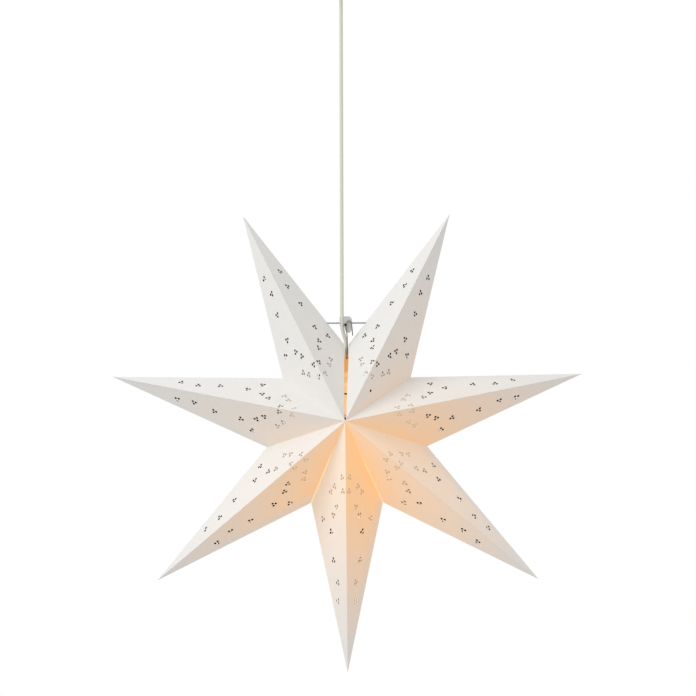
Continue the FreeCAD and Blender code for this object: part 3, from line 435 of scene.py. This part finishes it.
def star_paper(settings):
    """White card lit from inside: grain, folded ridges with a painted highlight, painted warm light through it
    and the painted shade of the glued flap.
    """
    f = Finish("star_paper", IOR=1.45)
    place = wedge_place(f)
    flap = flap_mask(f, place)
    sideways, flat_face, outward = paper_faces(f, place)
    flat_spot = f.flat(place.x, place.z)
    to_lit_side = f.vector("DOT_PRODUCT", flat_spot, LIT_SIDE)
    bulb_distance = f.vector("LENGTH", place.away)

    # Light through the paper: it tints the faces that look its way, and shines a little on all of them.
    far = f.maths("DIVIDE", bulb_distance, settings.reach)
    fade = f.maths("POWER", f.maths("SUBTRACT", 1.0, f.times(far, far), clamp=True), 1.5)
    lit_side = f.maths("POWER", f.ramp(to_lit_side, 0.2), 1.6)
    cloud = f.span(f.noise(0.03, 3), 0.2, 0.8, 0.92, 1.06)
    # The glued flap gets a painted shade: it takes a share off the light through the paper.
    through = f.times(fade, lit_side, cloud, f.rest(f.times(flap, 0.35)))
    aim = f.vector("DOT_PRODUCT", flat_face, LIT_AIM)
    facing = f.ramp(aim, 0.2)
    beam = f.times(through, f.ramp(aim, 0.42))
    tint = f.times(through, facing, facing, 1.18)

    # The paper itself: long fibres, fine tooth, and a painted highlight along the folded ridges and the rims.
    fibre = f.noise(settings.fibre, 4, stretch=(1, 1, 2.2), roughness=0.6)
    tooth = f.noise(settings.fibre * 0.3, 2)
    ridge = f.span(f.maths("ABSOLUTE", place.across), settings.crease * 0.4, settings.crease * 1.6, 1.0, 0.0)
    rim = f.span(f.maths("ABSOLUTE", place.depth), settings.crease * 0.3, settings.crease, 1.0, 0.0)
    white = f.shades(f.span(fibre, 0.3, 0.7), settings.white, 0.985, 1.012)
    white = f.mix(f.times(f.maths("MAXIMUM", ridge, rim), 0.5), white, shade(settings.white, 1.04))

    # The slit between the two top points, where their side walls and the inside get a painted orange glow of
    # the bulb.
    slit = f.times(
        f.maths("LESS_THAN", f.maths("ABSOLUTE", place.x), SLIT_HALF),
        f.maths("GREATER_THAN", place.z, 0.0),
        f.maths("MAXIMUM", f.maths("GREATER_THAN", sideways, 0.85), f.rest(outward)),
    )
    outer_colour = f.mix(slit, f.mix(tint, white, settings.warm), (0.55, 0.28, 0.09))

    # Painted light on the inside of the star reaches further out below than above; the rest of the inside gets
    # painted shade, and a painted shadow of the lamp holder lies behind the single hole.
    room_reach = f.ramp(to_lit_side, 0.094, 0.113)
    near = f.times(f.span(f.maths("DIVIDE", bulb_distance, room_reach), 0.93, 1.14, 1.0, 0.0),
                   f.span(f.distance(HOLDER_SHADOW_MIDDLE), 0.014, 0.019))
    f.colour(f.mix(outward, f.mix(near, SHADED_INSIDE, (0.36, 0.30, 0.24)), outer_colour))

    # Light leaks out of the glue line beside the bottom point, and the walls of the slit glow orange.
    below = f.span(f.vector("DOT_PRODUCT", flat_spot, (0.0, 0.0, -1.0)), 0.84, 0.88)
    glue_line = f.span(place.to_seam, 0.0003, 0.0010, 1.0, 0.0)
    seam = f.times(glue_line, below, fade, f.span(place.radius, 0.02, 0.06))
    outer_light = f.mix(f.times(seam, 0.6), f.mix(beam, BLACK, settings.glow), (0.62, 0.44, 0.10))
    lit_inside = f.mix(f.span(place.z, -0.10, 0.02), (0.38, 0.24, 0.14), settings.inside)
    light = f.mix(outward, f.mix(near, BLACK, lit_inside), outer_light)
    f.emission(f.mix(slit, light, (0.60, 0.27, 0.06)))
    f.roughness(f.span(fibre, 0.2, 0.8, 0.74, 0.9))
    relief = f.maths("ADD", f.times(fibre, 0.7), f.times(tooth, 0.3))
    f.normal(f.bump(relief, 0.00006, f.bump(ridge, 0.0002, f.bump(f.noise(0.045, 1), 0.0009))))
    return f.material


def cord_sheath(settings):
    """Smooth extruded sheath with a faint long wave, in the warm light of the bulb inside the star."""
    f = Finish("cord_sheath")
    cloud = f.noise(0.02, 2, stretch=(1, 1, 4))
    outside = f.span(f.split(f.spot)[2], CORD_ENTERS, CORD_ENTERS + 0.004)
    f.colour(f.mix(outside, (0.50, 0.27, 0.10), f.shades(cloud, settings.colour, 0.95, 1.04)))
    f.emission(f.mix(outside, (0.55, 0.26, 0.06), BLACK))
    f.roughness(f.span(f.noise(0.004, 3), 0.2, 0.8, 0.42, 0.6))
    f.normal(f.bump(f.noise(0.0007, 2, stretch=(1, 1, 6)), 0.00004, f.bump(cloud, 0.0002)))
    return f.material


def string_fibre(settings):
    """Loose spun fibre: streaks of light and dark, matt, with a painted shadow where it is pulled into the eye
    of the clip.
    """
    f = Finish("string", Roughness=0.95)
    streak = f.noise(0.0003, 3, stretch=(1, 1, 3))
    # Painted shadow: the string goes nearly black round the eye of the clip.
    clear_of_eye_shadow = f.span(f.distance(EYE), 0.0016, 0.0021)
    f.colour(f.mix(clear_of_eye_shadow, (0.03, 0.027, 0.025), f.shades(streak, settings.string, 0.7, 1.25)))
    f.normal(f.bump(streak, 0.0001))
    return f.material


def clear_glass(name, tint):
    """Blown glass with a slightly wavy, unevenly wiped surface."""
    f = Finish(name, Transmission_Weight=1.0, IOR=1.5, Base_Color=tint)
    f.roughness(f.span(f.noise(0.004, 2), 0.3, 0.8, 0.02, 0.06))
    f.normal(f.bump(f.noise(0.02, 1), 0.0001))
    return f.material


def lit_filament(strength):
    """A coated filament that glows, with a slightly grainy coat."""
    f = Finish("filament")
    f.emission((1.0, 0.66, 0.30), strength)
    f.colour(f.mix(f.noise(0.0008, 2), (0.95, 0.66, 0.22), (1.0, 0.78, 0.36)))
    f.roughness(f.span(f.noise(0.0005, 2), 0.3, 0.7, 0.5, 0.7))
    return f.material


def ceramic(name, colour):
    """Unglazed ceramic: fine specks, matt and slightly rough."""
    f = Finish(name)
    speck = f.noise(0.0009, 4, roughness=0.7)
    f.colour(f.shades(speck, colour, 0.9, 1.05))
    f.roughness(f.span(speck, 0.3, 0.7, 0.5, 0.75))
    f.normal(f.bump(speck, 0.00008))
    return f.material


# ---------------------------------------------------------------- making meshes


def show(name, data, body, material, slot, *nodes):
    """Put a finished mesh or curve in the scene: its finish, its body and the nodes that it stands for."""
    thing = bpy.data.objects.new(name, data)
    bpy.context.scene.collection.objects.link(thing)
    data.materials.clear()
    data.materials.append(material)
    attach(thing, body)
    if nodes:
        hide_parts(*nodes)
    return thing


def paint(material, *nodes):
    """Give CAD nodes their finish."""
    for node in nodes:
        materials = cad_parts[node].data.materials
        materials.clear()
        materials.append(material)


def smooth(mesh, angle):
    """Shade a mesh smooth where its faces meet at less than this many degrees."""
    mesh.shade_smooth()
    mesh.set_sharp_from_angle(angle=math.radians(angle))
    return mesh


def softened(node, width, angle=38, corner=None):
    """A welded copy of a CAD node with rounded edges, and rounder corners seen from the front."""
    weld, level = 0.000002, math.radians(0.5)
    work = bmesh.new()
    work.from_mesh(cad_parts[node].data)
    bmesh.ops.remove_doubles(work, verts=work.verts, dist=weld)
    bmesh.ops.dissolve_limit(work, angle_limit=level, verts=work.verts, edges=work.edges)

    def bends(edge, least):
        return edge.is_manifold and edge.is_convex and edge.calc_face_angle() > math.radians(least)

    def through(edge):
        """Whether a long edge runs from front to back."""
        along = (edge.verts[0].co - edge.verts[1].co).normalized()
        return abs(along.y) > 0.98 and edge.calc_length() > 0.007

    def bevel(edges, offset, steps):
        bmesh.ops.bevel(work, geom=edges, offset=offset, segments=steps, profile=0.5, affect="EDGES",
                        clamp_overlap=True)

    if corner:
        bevel([edge for edge in work.edges if bends(edge, 25) and through(edge)], corner, steps=5)
    bevel([edge for edge in work.edges if bends(edge, angle)], width, steps=3)
    bmesh.ops.triangulate(work, faces=[face for face in work.faces if len(face.verts) > 4])
    mesh = bpy.data.meshes.new(node + "_soft")
    work.to_mesh(mesh)
    work.free()
    for name in ("custom_normal", "sharp_edge"):
        if name in mesh.attributes:
            mesh.attributes.remove(mesh.attributes[name])
    return smooth(mesh, MOULDED_FORM)


class ShapeTree:
    """A Geometry Nodes tree with named sizes, and short ways to add its nodes."""

    def __init__(self, name, **sizes):
        self.tree = bpy.data.node_groups.new(name, "GeometryNodeTree")
        face = self.tree.interface
        face.new_socket("Geometry", in_out="INPUT", socket_type="NodeSocketGeometry")
        for label, value in sizes.items():
            kind = "NodeSocketInt" if isinstance(value, int) else "NodeSocketFloat"
            face.new_socket(label, in_out="INPUT", socket_type=kind).default_value = value
        face.new_socket("Material", in_out="INPUT", socket_type="NodeSocketMaterial")
        face.new_socket("Geometry", in_out="OUTPUT", socket_type="NodeSocketGeometry")
        self.sizes = self.tree.nodes.new("NodeGroupInput").outputs

    def add(self, kind, settings=None, **values):
        node = self.tree.nodes.new(kind)
        for name, value in (settings or {}).items():
            setattr(node, name, value)
        for label, value in values.items():
            socket = node.inputs[int(label[1:])] if label[0] == "_" else node.inputs[label.replace("_", " ")]
            if isinstance(value, bpy.types.NodeSocket):
                self.tree.links.new(value, socket)
            else:
                socket.default_value = value
        return node.outputs

    def maths(self, operation, first, second=0.0):
        return self.add("ShaderNodeMath", {"operation": operation}, _0=first, _1=second)[0]

    def vector(self, operation, first, second):
        """Vector maths; a SCALE takes its number from second."""
        spot = "_3" if operation == "SCALE" else "_1"
        return self.add("ShaderNodeVectorMath", {"operation": operation}, **{"_0": first, spot: second})[0]

    def finish(self, geometry):
        real = self.add("GeometryNodeRealizeInstances", Geometry=geometry)["Geometry"]
        dressed = self.add("GeometryNodeSetMaterial", Geometry=real, Material=self.sizes["Material"])
        out = self.tree.nodes.new("NodeGroupOutput")
        self.tree.links.new(dressed["Geometry"], out.inputs["Geometry"])
        return self.tree


def grown(tree, source, **sizes):
    """The mesh that a Geometry Nodes tree makes from source data with these sizes."""
    holder = bpy.data.objects.new("holder", source)
    bpy.context.scene.collection.objects.link(holder)
    modifier = holder.modifiers.new("Shape", "NODES")
    modifier.node_group = tree
    for item in tree.interface.items_tree:
        if item.item_type == "SOCKET" and item.in_out == "INPUT" and item.name in sizes:
            modifier[item.identifier] = sizes[item.name]
    bpy.context.view_layer.update()
    graph = bpy.context.evaluated_depsgraph_get()
    mesh = bpy.data.meshes.new_from_object(holder.evaluated_get(graph))
    holder.modifiers.remove(modifier)
    bpy.data.objects.remove(holder)
    return mesh


def moved(mesh, spot):
    """Shift a mesh to stand round a spot."""
    for vertex in mesh.vertices:
        vertex.co += Vector(spot)
    return mesh


def rolled_thread_tree():
    """A rolled tube wall with a round screw thread that fades out at both ends."""
    shape = ShapeTree("Rolled Thread", Radius=0.00695, Depth=0.0004, Pitch=0.00282, Length=0.019)
    size = shape.sizes
    sheet = shape.add("GeometryNodeMeshGrid", Size_X=math.tau, Size_Y=size["Length"], Vertices_X=65,
                      Vertices_Y=97)["Mesh"]
    turn, height, _ = shape.add("ShaderNodeSeparateXYZ", _0=shape.add("GeometryNodeInputPosition")[0])
    rise = shape.maths("DIVIDE", shape.maths("MULTIPLY", height, math.tau), size["Pitch"])
    wave = shape.maths("COSINE", shape.maths("SUBTRACT", rise, turn))
    hollow = shape.maths("MULTIPLY", shape.maths("SUBTRACT", 1.0, wave), 0.5)
    half_length = shape.maths("MULTIPLY", size["Length"], 0.5)
    to_end = shape.maths("SUBTRACT", half_length, shape.maths("ABSOLUTE", height))
    plain_end, full_depth = 0.001, 0.0032
    fade = shape.add("ShaderNodeMapRange", {"interpolation_type": "SMOOTHSTEP"}, _0=to_end, _1=plain_end,
                     _2=full_depth)[0]
    sink = shape.maths("MULTIPLY", shape.maths("MULTIPLY", hollow, fade), size["Depth"])
    radius = shape.maths("SUBTRACT", size["Radius"], sink)
    spot = shape.add(
        "ShaderNodeCombineXYZ",
        _0=shape.maths("MULTIPLY", radius, shape.maths("COSINE", turn)),
        _1=shape.maths("MULTIPLY", radius, shape.maths("SINE", turn)),
        _2=height,
    )[0]
    rolled = shape.add("GeometryNodeSetPosition", Geometry=sheet, Position=spot)["Geometry"]
    welded = shape.add("GeometryNodeMergeByDistance", Geometry=rolled, Distance=0.000005)["Geometry"]
    return shape.finish(welded)


def grip_ribs_tree():
    """Round-ended ribs that stand in a ring."""
    shape = ShapeTree("Grip Ribs", Count=24, Radius=0.0135, Rib=0.0005, Height=0.008)
    size = shape.sizes
    ring = shape.add("GeometryNodeMeshCircle", Vertices=size["Count"], Radius=size["Radius"])["Mesh"]
    rib = shape.add("GeometryNodeMeshUVSphere", Segments=8, Rings=8, Radius=1.0)["Mesh"]
    scale = shape.add("ShaderNodeCombineXYZ", _0=size["Rib"], _1=size["Rib"],
                      _2=shape.maths("MULTIPLY", size["Height"], 0.5))[0]
    stood = shape.add("GeometryNodeInstanceOnPoints", Points=ring, Instance=rib, Scale=scale)["Instances"]
    return shape.finish(stood)


def twisted_string_tree():
    """Two plies twisted round each other along a curve."""
    shape = ShapeTree("Twisted String", Ply=0.0004, Lay=0.0045)
    size = shape.sizes
    path = shape.add("GeometryNodeResampleCurve", {"mode": "LENGTH"}, Curve=size["Geometry"],
                     Length=0.0004)["Curve"]
    travel = shape.add("GeometryNodeSplineParameter")["Length"]
    turn = shape.maths("DIVIDE", shape.maths("MULTIPLY", travel, math.tau), size["Lay"])
    normal = shape.add("GeometryNodeInputNormal")[0]
    tangent = shape.add("GeometryNodeInputTangent")[0]
    side = shape.vector("CROSS_PRODUCT", tangent, normal)
    ring = shape.add("GeometryNodeCurvePrimitiveCircle", Resolution=7, Radius=size["Ply"])["Curve"]
    join = shape.tree.nodes.new("GeometryNodeJoinGeometry")
    for phase in (0.0, math.pi):
        angle = shape.maths("ADD", turn, phase)
        offset = shape.vector(
            "ADD",
            shape.vector("SCALE", normal, shape.maths("MULTIPLY", shape.maths("COSINE", angle), size["Ply"])),
            shape.vector("SCALE", side, shape.maths("MULTIPLY", shape.maths("SINE", angle), size["Ply"])),
        )
        ply = shape.add("GeometryNodeSetPosition", Geometry=path, Offset=offset)["Geometry"]
        tube = shape.add("GeometryNodeCurveToMesh", Curve=ply, Profile_Curve=ring, Fill_Caps=True)["Mesh"]
        shape.tree.links.new(tube, join.inputs["Geometry"])
    return shape.finish(join.outputs["Geometry"])


def smooth_path(name, spots, closed=False):
    """A curve through control points: a NURBS spline of order 3 that reaches both ends."""
    curve = bpy.data.curves.new(name, "CURVE")
    curve.dimensions = "3D"
    curve.resolution_u = 24
    spline = curve.splines.new("NURBS")
    spline.points.add(len(spots) - 1)
    for point, spot in zip(spline.points, spots):
        point.co = (*spot, 1)
    spline.order_u = 3
    spline.use_endpoint_u = not closed
    spline.use_cyclic_u = closed
    return curve


def roll(name, node, body, material, slot, settings, radius, wall):
    """A rolled thread wall in the place of a plain CAD tube."""
    low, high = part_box(node)
    mesh = grown(rolled_thread_tree(), bpy.data.meshes.new("none"), Radius=radius, Length=high.z - low.z,
                 Depth=settings.thread_depth, Pitch=settings.thread_pitch, Material=material)
    work = bmesh.new()
    work.from_mesh(mesh)
    bmesh.ops.recalc_face_normals(work, faces=work.faces)
    bmesh.ops.solidify(work, geom=work.faces[:], thickness=wall)
    work.to_mesh(mesh)
    work.free()
    moved(mesh, (STAR.x, STAR.y, (low.z + high.z) / 2))
    show(name, smooth(mesh, ROUND_FORM), body, material, slot, node)


def ring_of_ribs(name, body, material, slot, middle, **sizes):
    """Grip ribs in a ring round the vertical through middle."""
    ribs = grown(grip_ribs_tree(), bpy.data.meshes.new("none"), Material=material, **sizes)
    show(name, smooth(moved(ribs, middle), ROUND_FORM), body, material, slot)


def together(*meshes):
    """One mesh out of several."""
    work = bmesh.new()
    for mesh in meshes:
        work.from_mesh(mesh)
    whole = bpy.data.meshes.new("whole")
    work.to_mesh(whole)
    work.free()
    return whole


# ---------------------------------------------------------------- the pieces and the stage


class STAR_OT_camera(bpy.types.Operator):
    """Place the camera at the height and angle of the picture"""

    bl_idname = "star_pendant.camera"
    bl_label = "Camera"

    def execute(self, context):
        s = context.scene.star_stage
        lens = bpy.data.cameras.new("camera")
        lens.sensor_width = 36
        lens.lens = lens.sensor_width * s.distance / s.frame_width
        # The centre of the star is a little left of the picture's middle and well below it.
        lens.shift_x, lens.shift_y = 0.0017, 0.1157
        lens.clip_end = 60
        camera = bpy.data.objects.new("camera", lens)
        context.scene.collection.objects.link(camera)
        level = math.cos(s.elevation)
        back = Vector((math.sin(s.azimuth) * level, -math.cos(s.azimuth) * level, math.sin(s.elevation)))
        camera.location = STAR + back * s.distance
        camera.rotation_mode = "QUATERNION"
        camera.rotation_quaternion = (-back).to_track_quat("-Z", "Y") @ Quaternion((0, 0, 1), s.roll)
        context.scene.camera = camera
        return {"FINISHED"}


class STAR_OT_supply_cord(bpy.types.Operator):
    """Hang the round cord from the ceiling into the lamp holder"""

    bl_idname = "star_pendant.supply_cord"
    bl_label = "Supply Cord"

    def execute(self, context):
        s = context.scene.star_cord
        curve = smooth_path("supply_cord_line", [
            (0, 0, -0.020),
            (0, 0, -0.4805),
            (0, 0, -0.497),
            (0.0055, 0.0042, -0.512),
            (0.0055, 0.0042, -0.5285),
            (0.0055, 0.0042, -0.558),
        ])
        curve.bevel_depth = s.diameter / 2
        curve.bevel_resolution = 5
        curve.use_fill_caps = True
        cord = show("flex", curve, "pendant", cord_sheath(s), "cord_sheath", "supply_cord")
        return {"FINISHED"}


class STAR_OT_paper_points(bpy.types.Operator):
    """Dress the seven folded paper points"""

    bl_idname = "star_pendant.paper_points"
    bl_label = "Paper Points"

    def execute(self, context):
        paint(star_paper(context.scene.star_paper),
              *(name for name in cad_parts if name.startswith("star_point_")))
        return {"FINISHED"}


class STAR_OT_hanger(bpy.types.Operator):
    """Dress the hanging bar and the closing studs, and round the edges of the cord clip"""

    bl_idname = "star_pendant.hanger"
    bl_label = "Bar, Clip and Studs"

    def execute(self, context):
        s = context.scene.star_hanger
        clip = moulded("clip_plastic", s.clip, roughness=0.36, Transmission_Weight=0.15)
        rounded = softened("cord_clip", s.edge, corner=0.0018)
        show("clip", rounded, "pendant", clip, "clip_plastic", "cord_clip")
        paint(metal("bar_steel", (0.42, 0.42, 0.42), roughness=0.42, brush=(8, 1, 1)), "hanging_bar")
        paint(metal("stud_metal", (0.12, 0.10, 0.09), roughness=0.45), "slit_studs")
        return {"FINISHED"}


class STAR_OT_tie_string(bpy.types.Operator):
    """Twist and knot the string that ties the clip to the star"""

    bl_idname = "star_pendant.tie_string"
    bl_label = "Tie String"

    @staticmethod
    def knot(middle, size):
        """A closed overhand knot of a given overall radius, as a path."""
        spots = []
        steps = 36
        for step in range(steps):
            t = math.tau * step / steps
            spots.append(middle + Vector((
                math.sin(t) + 2 * math.sin(2 * t), -1.3 * math.sin(3 * t), math.cos(t) - 2 * math.cos(2 * t),
            )) * size / 3)
        return smooth_path("knot", spots, closed=True)

    def execute(self, context):
        s = context.scene.star_hanger
        tree = twisted_string_tree()
        fibre = string_fibre(s)
        front_knot, small_knot = 1.45 * MM, 0.85 * MM
        paths = [
            smooth_path("strand", [
                EYE, at_star(0.5, -7, 121), at_star(1.3, -3.8, 107), at_star(0.4, -3.4, 88),
            ]),
            smooth_path("loose_end", [
                EYE, at_star(1.6, -7.2, 133.8), at_star(4.6, -7, 134.6), at_star(6.9, -6.9, 129.5),
                at_star(7.9, -6.8, 115.5),
            ]),
            smooth_path("through_eye", [EYE, at_star(-1, -2, 129), EYE_BACK]),
            self.knot(EYE, front_knot),
            self.knot(EYE_BACK, small_knot),
            self.knot(at_star(0.4, -4.1, 88), small_knot),
        ]
        twisted = [grown(tree, path, Ply=0.00042, Lay=s.lay, Material=fibre) for path in paths]
        show("string", smooth(together(*twisted), ROUND_FORM), "pendant", fibre, "string", "tie_string")
        return {"FINISHED"}


class STAR_OT_lamp_holder(bpy.types.Operator):
    """Dress the lamp holder, roll its threaded sleeve and add the grip ribs"""

    bl_idname = "star_pendant.lamp_holder"
    bl_label = "Lamp Holder"

    def execute(self, context):
        s = context.scene.star_lamp
        # The holder plastic has a painted orange glow, for the bulb's light on it, given as emission; the cap,
        # skirt and grip ribs all carry it.
        plastic = moulded("holder_plastic", s.plastic, roughness=0.45, Emission_Color=(0.50, 0.25, 0.06),
                          Emission_Strength=1.0)
        cap, skirt = softened("holder_cap", 0.0006, angle=20), softened("holder_skirt", 0.0004)
        show("cap", cap, "pendant", plastic, "holder_plastic", "holder_cap")
        show("skirt", skirt, "pendant", plastic, "holder_plastic", "holder_skirt")
        ring_of_ribs("cap_ribs", "pendant", plastic, "holder_plastic", at_star(0, 0, 53.6),
                     Count=s.ribs, Radius=0.0135, Rib=0.00045, Height=0.0046)
        paint(ceramic("insert_ceramic", (0.80, 0.78, 0.72)), "holder_insert")
        paint(metal("contact_brass", (0.84, 0.66, 0.34), roughness=0.32), "centre_contact")
        brass = metal("sleeve_brass", (0.86, 0.70, 0.38), roughness=0.3)
        roll("sleeve", "threaded_sleeve", "pendant", brass, "sleeve_brass", s, radius=0.0083, wall=0.0004)
        for colour, tone in (("brown", (0.16, 0.07, 0.035)), ("blue", (0.03, 0.11, 0.38))):
            plastic = moulded("core_" + colour, tone, roughness=0.4)
            paint(plastic, "holder_core_" + colour, "conductor_" + colour)
        return {"FINISHED"}


class STAR_OT_bulb(bpy.types.Operator):
    """Dress the bulb and roll its screw shell"""

    bl_idname = "star_pendant.bulb"
    bl_label = "Bulb"

    def execute(self, context):
        s = context.scene.star_lamp
        paint(clear_glass("bulb_glass", (0.98, 0.98, 0.97)), "bulb_glass")
        paint(clear_glass("stem_glass", (0.96, 0.97, 0.96)), "bulb_stem")
        paint(lit_filament(s.filament_glow), "bulb_filaments")
        paint(metal("wire_metal", (0.62, 0.60, 0.57), roughness=0.3), "filament_wires")
        nickel = metal("shell_metal", (0.76, 0.75, 0.72), roughness=0.25)
        roll("shell", "bulb_screw_shell", "bulb", nickel, "shell_metal", s, radius=0.00695, wall=0.0003)
        paint(metal("contact_tin", (0.66, 0.65, 0.63), roughness=0.4), "bulb_contact")
        paint(moulded("insulator_black", (0.02, 0.02, 0.022), roughness=0.25), "bulb_insulator")
        return {"FINISHED"}


class STAR_OT_canopy(bpy.types.Operator):
    """Dress the canopy cup and its ribbed collar"""

    bl_idname = "star_pendant.canopy"
    bl_label = "Canopy"

    def execute(self, context):
        s = context.scene.star_ceiling
        plastic = moulded("canopy_plastic", s.plastic, roughness=0.38)
        cup, collar = softened("canopy_cup", 0.0006), softened("canopy_collar", 0.0005)
        show("canopy", cup, "canopy", plastic, "canopy_plastic", "canopy_cup")
        show("collar", collar, "canopy", plastic, "canopy_plastic", "canopy_collar")
        ring_of_ribs("collar_ribs", "canopy", plastic, "canopy_plastic", (0, 0, -0.0605),
                     Count=s.ribs, Radius=0.007, Rib=0.0004, Height=0.0085)
        paint(metal("screw_steel", (0.72, 0.71, 0.68), roughness=0.32), "collar_lock_screw", "clamp_screw",
              "block_screw", "terminal_screws")
        return {"FINISHED"}


class STAR_OT_ceiling_fitting(bpy.types.Operator):
    """Dress the bracket, the cord clamp and the terminal block"""

    bl_idname = "star_pendant.ceiling_fitting"
    bl_label = "Ceiling Fitting"

    def execute(self, context):
        paint(metal("bracket_steel", (0.70, 0.71, 0.72), roughness=0.36, spangle=0.007), "ceiling_bracket")
        clamp, block = softened("cord_clamp", 0.0006), softened("terminal_block", 0.0005)
        plastic = moulded("clamp_plastic", (0.62, 0.61, 0.58), roughness=0.45)
        show("clamp", clamp, "ceiling", plastic, "clamp_plastic", "cord_clamp")
        plastic = moulded("block_plastic", (0.78, 0.76, 0.69), roughness=0.4, Transmission_Weight=0.1)
        show("block", block, "ceiling", plastic, "block_plastic", "terminal_block")
        return {"FINISHED"}


class STAR_OT_stage(bpy.types.Operator):
    """Set out a pale floor, a white room and soft light"""

    bl_idname = "star_pendant.stage"
    bl_label = "Stage"

    @staticmethod
    def seen(nodes, links):
        """1 for rays from the camera, in a reflection or through glass."""
        path = nodes.new("ShaderNodeLightPath")
        total = path.outputs["Is Camera Ray"]
        for label in ("Is Glossy Ray", "Is Transmission Ray"):
            either = nodes.new("ShaderNodeMath")
            either.operation = "MAXIMUM"
            links.new(total, either.inputs[0])
            links.new(path.outputs[label], either.inputs[1])
            total = either.outputs[0]
        return total

    def execute(self, context):
        s = context.scene.star_stage
        work = bmesh.new()
        bmesh.ops.create_circle(work, cap_ends=True, segments=96, radius=9)
        mesh = bpy.data.meshes.new("floor")
        work.to_mesh(mesh)
        work.free()
        moved(mesh, (0, 0, s.floor))
        floor = bpy.data.objects.new("floor", mesh)
        context.scene.collection.objects.link(floor)
        f = Finish("floor", Roughness=0.9, Base_Color=(0.86, 0.86, 0.86))
        white = f.add("ShaderNodeEmission", (1.0, 1.0, 1.0, 1.0), 1.0)
        whiteness = 0.86
        both = f.add("ShaderNodeMixShader", f.times(self.seen(f.nodes, f.links), whiteness))
        f.links.new(f.shader.outputs[0], both.inputs[1])
        f.links.new(white.outputs[0], both.inputs[2])
        f.links.new(both.outputs[0], f.nodes["Material Output"].inputs["Surface"])
        mesh.materials.append(f.material)

        world = bpy.data.worlds.new("room")
        context.scene.world = world
        world.use_nodes = True
        nodes, links = world.node_tree.nodes, world.node_tree.links
        room = nodes["Background"]
        room.inputs["Color"].default_value = (1.0, 0.985, 0.96, 1)
        room.inputs["Strength"].default_value = s.sky
        backdrop = nodes.new("ShaderNodeBackground")
        backdrop.inputs["Color"].default_value = (1, 1, 1, 1)
        mix = nodes.new("ShaderNodeMixShader")
        links.new(self.seen(nodes, links), mix.inputs[0])
        links.new(room.outputs[0], mix.inputs[1])
        links.new(backdrop.outputs[0], mix.inputs[2])
        links.new(mix.outputs[0], nodes["World Output"].inputs["Surface"])

        lamp = bpy.data.lights.new("key", "AREA")
        lamp.shape = "DISK"
        lamp.size = 1.6
        lamp.energy = s.key
        key = bpy.data.objects.new("key", lamp)
        context.scene.collection.objects.link(key)
        front_upper_left = Vector((-1.7, -1.5, 1.5))
        key.location = STAR + front_upper_left
        key.rotation_mode = "QUATERNION"
        key.rotation_quaternion = (STAR - key.location).to_track_quat("-Z", "Y")
        context.scene.view_settings.view_transform = "Standard"
        return {"FINISHED"}


class STAR_PT_pendant(bpy.types.Panel):
    """The steps and sizes of the star pendant"""

    bl_idname = "STAR_PT_pendant"
    bl_label = "Star Pendant"
    bl_space_type = "VIEW_3D"
    bl_region_type = "UI"
    bl_category = "Star Pendant"

    def draw(self, context):
        for name, group in SETTINGS.items():
            box = self.layout.box()
            for setting in group.__annotations__:
                box.prop(getattr(context.scene, name), setting)
        for step in STEPS:
            self.layout.operator(step.bl_idname)


STEPS = (
    STAR_OT_camera,
    STAR_OT_supply_cord,
    STAR_OT_paper_points,
    STAR_OT_hanger,
    STAR_OT_tie_string,
    STAR_OT_lamp_holder,
    STAR_OT_bulb,
    STAR_OT_canopy,
    STAR_OT_ceiling_fitting,
    STAR_OT_stage,
)


def register():
    for name, group in SETTINGS.items():
        bpy.utils.register_class(group)
        setattr(bpy.types.Scene, name, bpy.props.PointerProperty(type=group))
    for step in (*STEPS, STAR_PT_pendant):
        bpy.utils.register_class(step)


def unregister():
    for step in (STAR_PT_pendant, *reversed(STEPS)):
        bpy.utils.unregister_class(step)
    for name, group in reversed(SETTINGS.items()):
        delattr(bpy.types.Scene, name)
        bpy.utils.unregister_class(group)


def main():
    register()
    for step in STEPS:
        group, name = step.bl_idname.split(".")
        getattr(getattr(bpy.ops, group), name)()


if __name__ == "__main__":
    main()
